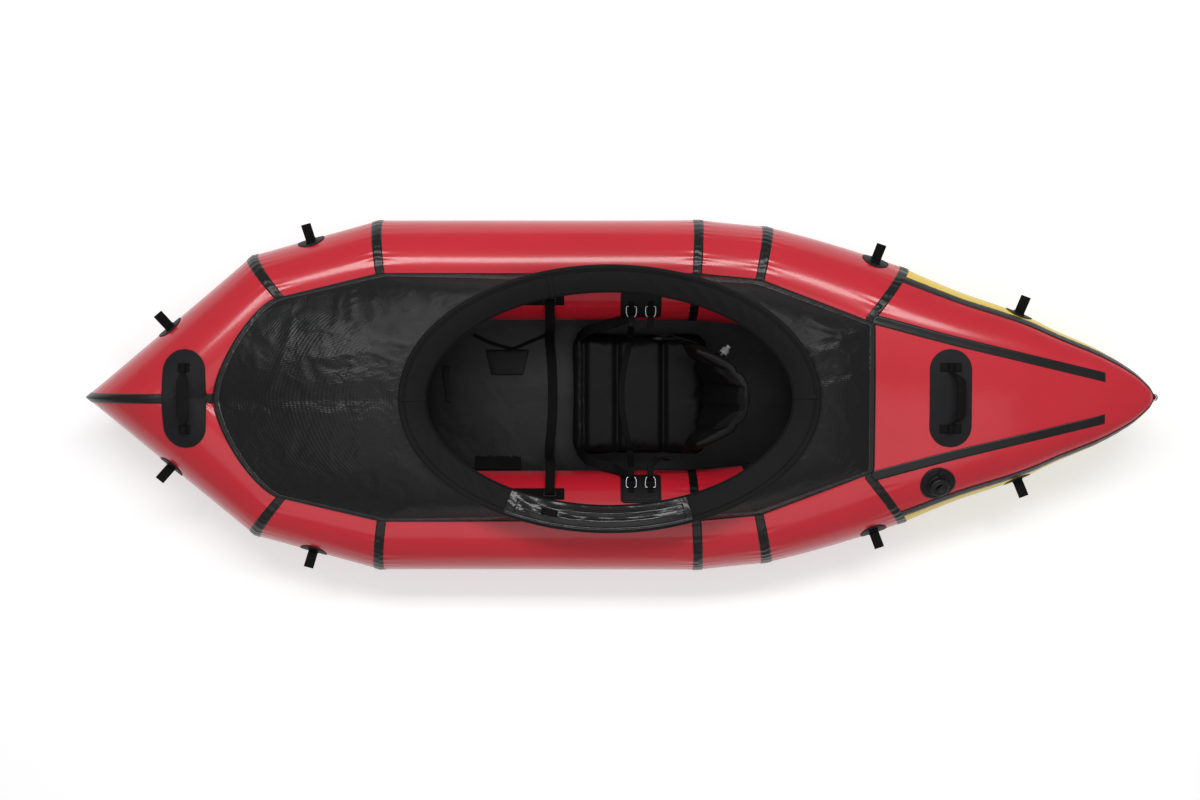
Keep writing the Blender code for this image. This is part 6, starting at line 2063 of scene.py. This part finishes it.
for word, side in sides.items():
    fold = ring_fold(RING_X["aft"], side, True)
    wing = [wing_place(side, across) for across in (0.93, 0.86, 0.78, 0.70, 0.62)]
    up = wing[0][1]
    arrive = (wing[0][0] - wing[1][0]).normalized()
    lead = wing[0][0] + arrive * 0.020
    leave = (fold[-1] - fold[-2]).normalized()
    pull = (lead - fold[-1]).length / 3
    near, far = fold[-1] + leave * pull, lead + arrive * pull
    bend = [fold[-1] + leave * pull * 0.5, near.lerp(far, 0.35), near.lerp(far, 0.72)]
    fore = Vector((1, 0, 0))
    turns = [fore.lerp(up, share).normalized() * NARROW / 2 for share in (0.25, 0.55, 0.8)]
    ring_end = strap("back_strap_ring_" + word, fold + bend, [NARROW_HALF] * len(fold) + turns, None)
    tuple(bend[1])
    tuple(fold[8])
    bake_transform(ring_end)
    points = [bend[2], lead] + [spot for spot, _ in wing]
    halves = turns[2:] + [up * WEBBING / 2] * (len(wing) + 1)
    wing_end = strap("back_strap_wing_" + word, points, halves, None, "backrest_strap_" + word)
    tuple(bend[2])
    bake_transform(wing_end)
print("backrest straps: 2")

# %% [markdown]
# ## Small things on the cockpit floor
# A foot pad is glued on the floor in front of the seat, with a thin strap in a V over it. Further
# forward a short strip crosses the floor, and a loose flap leans on the port tube. They follow the
# floor, so each is laid on it point by point.

# %% Pad, strap and flap
floor_tree = tree_of(floor_piece)


def on_floor(x, y, lift=0.0018):
    """Gives a place just over the cockpit floor."""
    hit = floor_tree.ray_cast(Vector((x, y, 0.12)), -UP)
    return (hit[0] if hit[0] is not None else Vector((x, y, 0.004))) + UP * lift


def foot_pad_place(across, along):
    """Gives a place on the foot pad, which narrows towards the middle of the boat."""
    half = 0.059 - 0.016 * along
    x = -0.303 + half * (2 * across - 1)
    edge = min(across, 1 - across, along, 1 - along)
    return on_floor(x, 0.119 - 0.068 * along, 0.0022 + 0.0022 * min(edge / 0.12, 1.0))


foot_pad = laid_cloth("foot_pad", 30, 20, (0.118, 0.068), foot_pad_place, patch_cloth, upward)
put(thicken(foot_pad, 0.0016), "hull", "black_fabric")
V_POINTS = (
    (-0.395, 0.160), (-0.350, 0.139), (-0.300, 0.124), (-0.286, 0.122), (-0.245, 0.139), (-0.192, 0.162)
)
v_line = [on_floor(x, y, 0.0035) for x, y in V_POINTS]
strap("foot_strap", v_line, Vector((0, 0.0045, 0)), "hull")
strip_line = [on_floor(-0.467 - 0.004 * sin(i), 0.075 - 0.0165 * i, 0.003) for i in range(7)]
strap("floor_loop", strip_line, Vector((0.009, 0, 0)), "hull", finish=patch_cloth)


def flap_place(across, along):
    """Gives a place on the loose flap beside the port tube."""
    x = -0.392 + 0.126 * across
    ragged = 0.006 * noise.noise(Vector((x * 90.0, 0, 3.0)))
    y = -0.172 - 0.036 * along + ragged * (1 - along)
    return on_floor(x, y, 0.003 + 0.010 * along * along)


flap = laid_cloth("side_flap", 40, 16, (0.126, 0.05), flap_place, webbing, upward)
put(thicken(flap, 0.0014), "hull", "black_fabric")
print("floor things: 4")

# %% [markdown]
# ## Stretched cloth
# The deck and the floor are cloth stretched over the tubes.

# %% [markdown]
# ## Valve
# The valve is a black moulded screw valve in a welded patch on the outer flank of the stern. Its body
# stays in the skin, a loose leash ring lies on the collar, and the ribbed cap screws over the neck.
# Each is turned from its outline with the spin tool. The ribs, the grip bar and the ring's pull tab
# are small blocks with rounded edges, set into the turned shapes.

# %% Valve directions
VALVE_POINT = Vector((0.82139, -0.22263, 0.27704))
VALVE_OUT = Vector((0.087708, -0.438198, 0.894589)).normalized()
VALVE_ALONG = Vector((0.94836, 0.31155, 0.05963)).normalized()
VALVE_UP = VALVE_OUT.cross(VALVE_ALONG)
VALVE_TURN = Matrix((VALVE_ALONG, VALVE_UP, VALVE_OUT)).transposed().to_4x4()


def valve_spot(radius, around, lift):
    """Gives a place on the skin round the valve, at a distance from its axis."""
    turn = 2 * pi * around
    spot = VALVE_POINT + VALVE_ALONG * radius * cos(turn) + VALVE_UP * radius * sin(turn)
    return land(spot, VALVE_OUT, 0.03) + VALVE_OUT * lift


def valve_side(point):
    """Points out of the skin at the valve."""
    return VALVE_OUT


def valve_block(shape, size, degrees, reach, height, rounding):
    """Adds a block to a turned shape, at an angle round the valve's axis, a reach and a height."""
    spin = Matrix.Rotation(radians(degrees), 4, "Z") @ Matrix.Translation((reach, 0, height))
    add_block(shape, size, Matrix.Translation(VALVE_POINT) @ VALVE_TURN @ spin, rounding)


print("valve axis:", [round(v, 3) for v in VALVE_OUT])

# %% Valve patch with its weld lines
PATCH_HOLE = 0.0215
PATCH_WIDTH = 0.0245


def valve_patch_place(around, out):
    """Gives a place on the round patch, which has a hole for the body."""
    return valve_spot(PATCH_HOLE + PATCH_WIDTH * out, around, 0.0004)


patch = laid_cloth(
    "valve_patch_cloth", 72, 8, (0.20, PATCH_WIDTH), valve_patch_place, patch_cloth, valve_side
)
put(thicken(patch, 0.0016), "hull", "black_tape", "valve_patch")


def valve_weld_ring(name, radius, width):
    """Makes a raised weld line round the valve, laid on its patch."""

    def place(around, out):
        return valve_spot(radius + width * (out - 0.5), around, 0.0019)

    piece = laid_cloth(name, 96, 3, (0.25, width), place, rim_film, valve_side)
    put(thicken(piece, 0.0006), "hull", "black_plastic")


valve_weld_ring("valve_weld_outer", 0.0425, 0.0016)
valve_weld_ring("valve_weld_inner", 0.0330, 0.0022)
print("weld rings: 2")

# %% Valve body
SHELL = [
    (0.0150, -0.012), (0.0200, -0.012), (0.0205, 0.0016), (0.0262, 0.0018), (0.0270, 0.0026),
    (0.0270, 0.0050), (0.0262, 0.0058), (0.0204, 0.0060), (0.0196, 0.0064), (0.0190, 0.0070),
]
for lap in range(5):
    low = 0.0074 + lap * 0.0017
    SHELL += [(0.0180, low), (0.0192, low + 0.0006), (0.0192, low + 0.0009), (0.0180, low + 0.0015)]
SHELL += [(0.0178, 0.0166), (0.0170, 0.0172), (0.0156, 0.0172), (0.0150, 0.0166)]
shell = turned("valve_body_shell", SHELL, VALVE_POINT, VALVE_OUT, plastic, 72)
put(shell, "hull", "black_plastic", "valve_body")
print("valve body:", len(shell.data.polygons), "faces")

# %% Leash ring and cap
RING_LEVEL = 0.0078
RING_BAND = [
    (0.0206, -0.0008), (0.0262, -0.0008), (0.0265, -0.0003),
    (0.0265, 0.0003), (0.0262, 0.0008), (0.0206, 0.0008),
]
CAP_BASE = 0.0094
CAP_RIBS = 24
CAP_SHELL = [
    (0.0220, 0), (0.0240, 0), (0.0246, 0.0008), (0.0246, 0.0098), (0.0238, 0.0116),
    (0.0220, 0.0126), (0.0180, 0.0129), (0.0150, 0.0126), (0.0130, 0.0112), (0.0006, 0.0108),
    (0.0006, 0.0086), (0.0195, 0.0086), (0.0205, 0.0078), (0.0205, 0.0004),
]


def leash_ring():
    """Makes the flat leash ring with its pull tab."""
    origin = VALVE_POINT + VALVE_OUT * RING_LEVEL
    ring = turned("valve_leash_ring_band", RING_BAND, origin, VALVE_OUT, plastic, 72)
    shape = bmesh.new()
    shape.from_mesh(ring.data)
    valve_block(shape, (0.018, 0.011, 0.0014), 67.5, 0.0335, RING_LEVEL, 0.0005)
    shape.to_mesh(ring.data)
    shape.free()
    put(ring, "valve_leash_ring", "black_plastic", "valve_leash_ring")


def valve_cap():
    """Makes the cap: a ribbed rim, a rounded edge and a shallow dished top with a grip bar."""
    outline = [(radius, CAP_BASE + height) for radius, height in CAP_SHELL]
    cap = turned("valve_cap_shell", outline, VALVE_POINT, VALVE_OUT, plastic, 96)
    shape = bmesh.new()
    shape.from_mesh(cap.data)
    for rib in range(CAP_RIBS):
        turn = 360 * rib / CAP_RIBS
        valve_block(shape, (0.0022, 0.0026, 0.0092), turn, 0.0247, CAP_BASE + 0.0056, 0.0006)
    valve_block(shape, (0.0220, 0.0040, 0.0030), 28, 0, CAP_BASE + 0.0118, 0.0009)
    shape.to_mesh(cap.data)
    shape.free()
    put(cap, "valve_cap", "black_plastic", "valve_cap")


leash_ring()
valve_cap()
print("cap:", CAP_RIBS, "ribs")
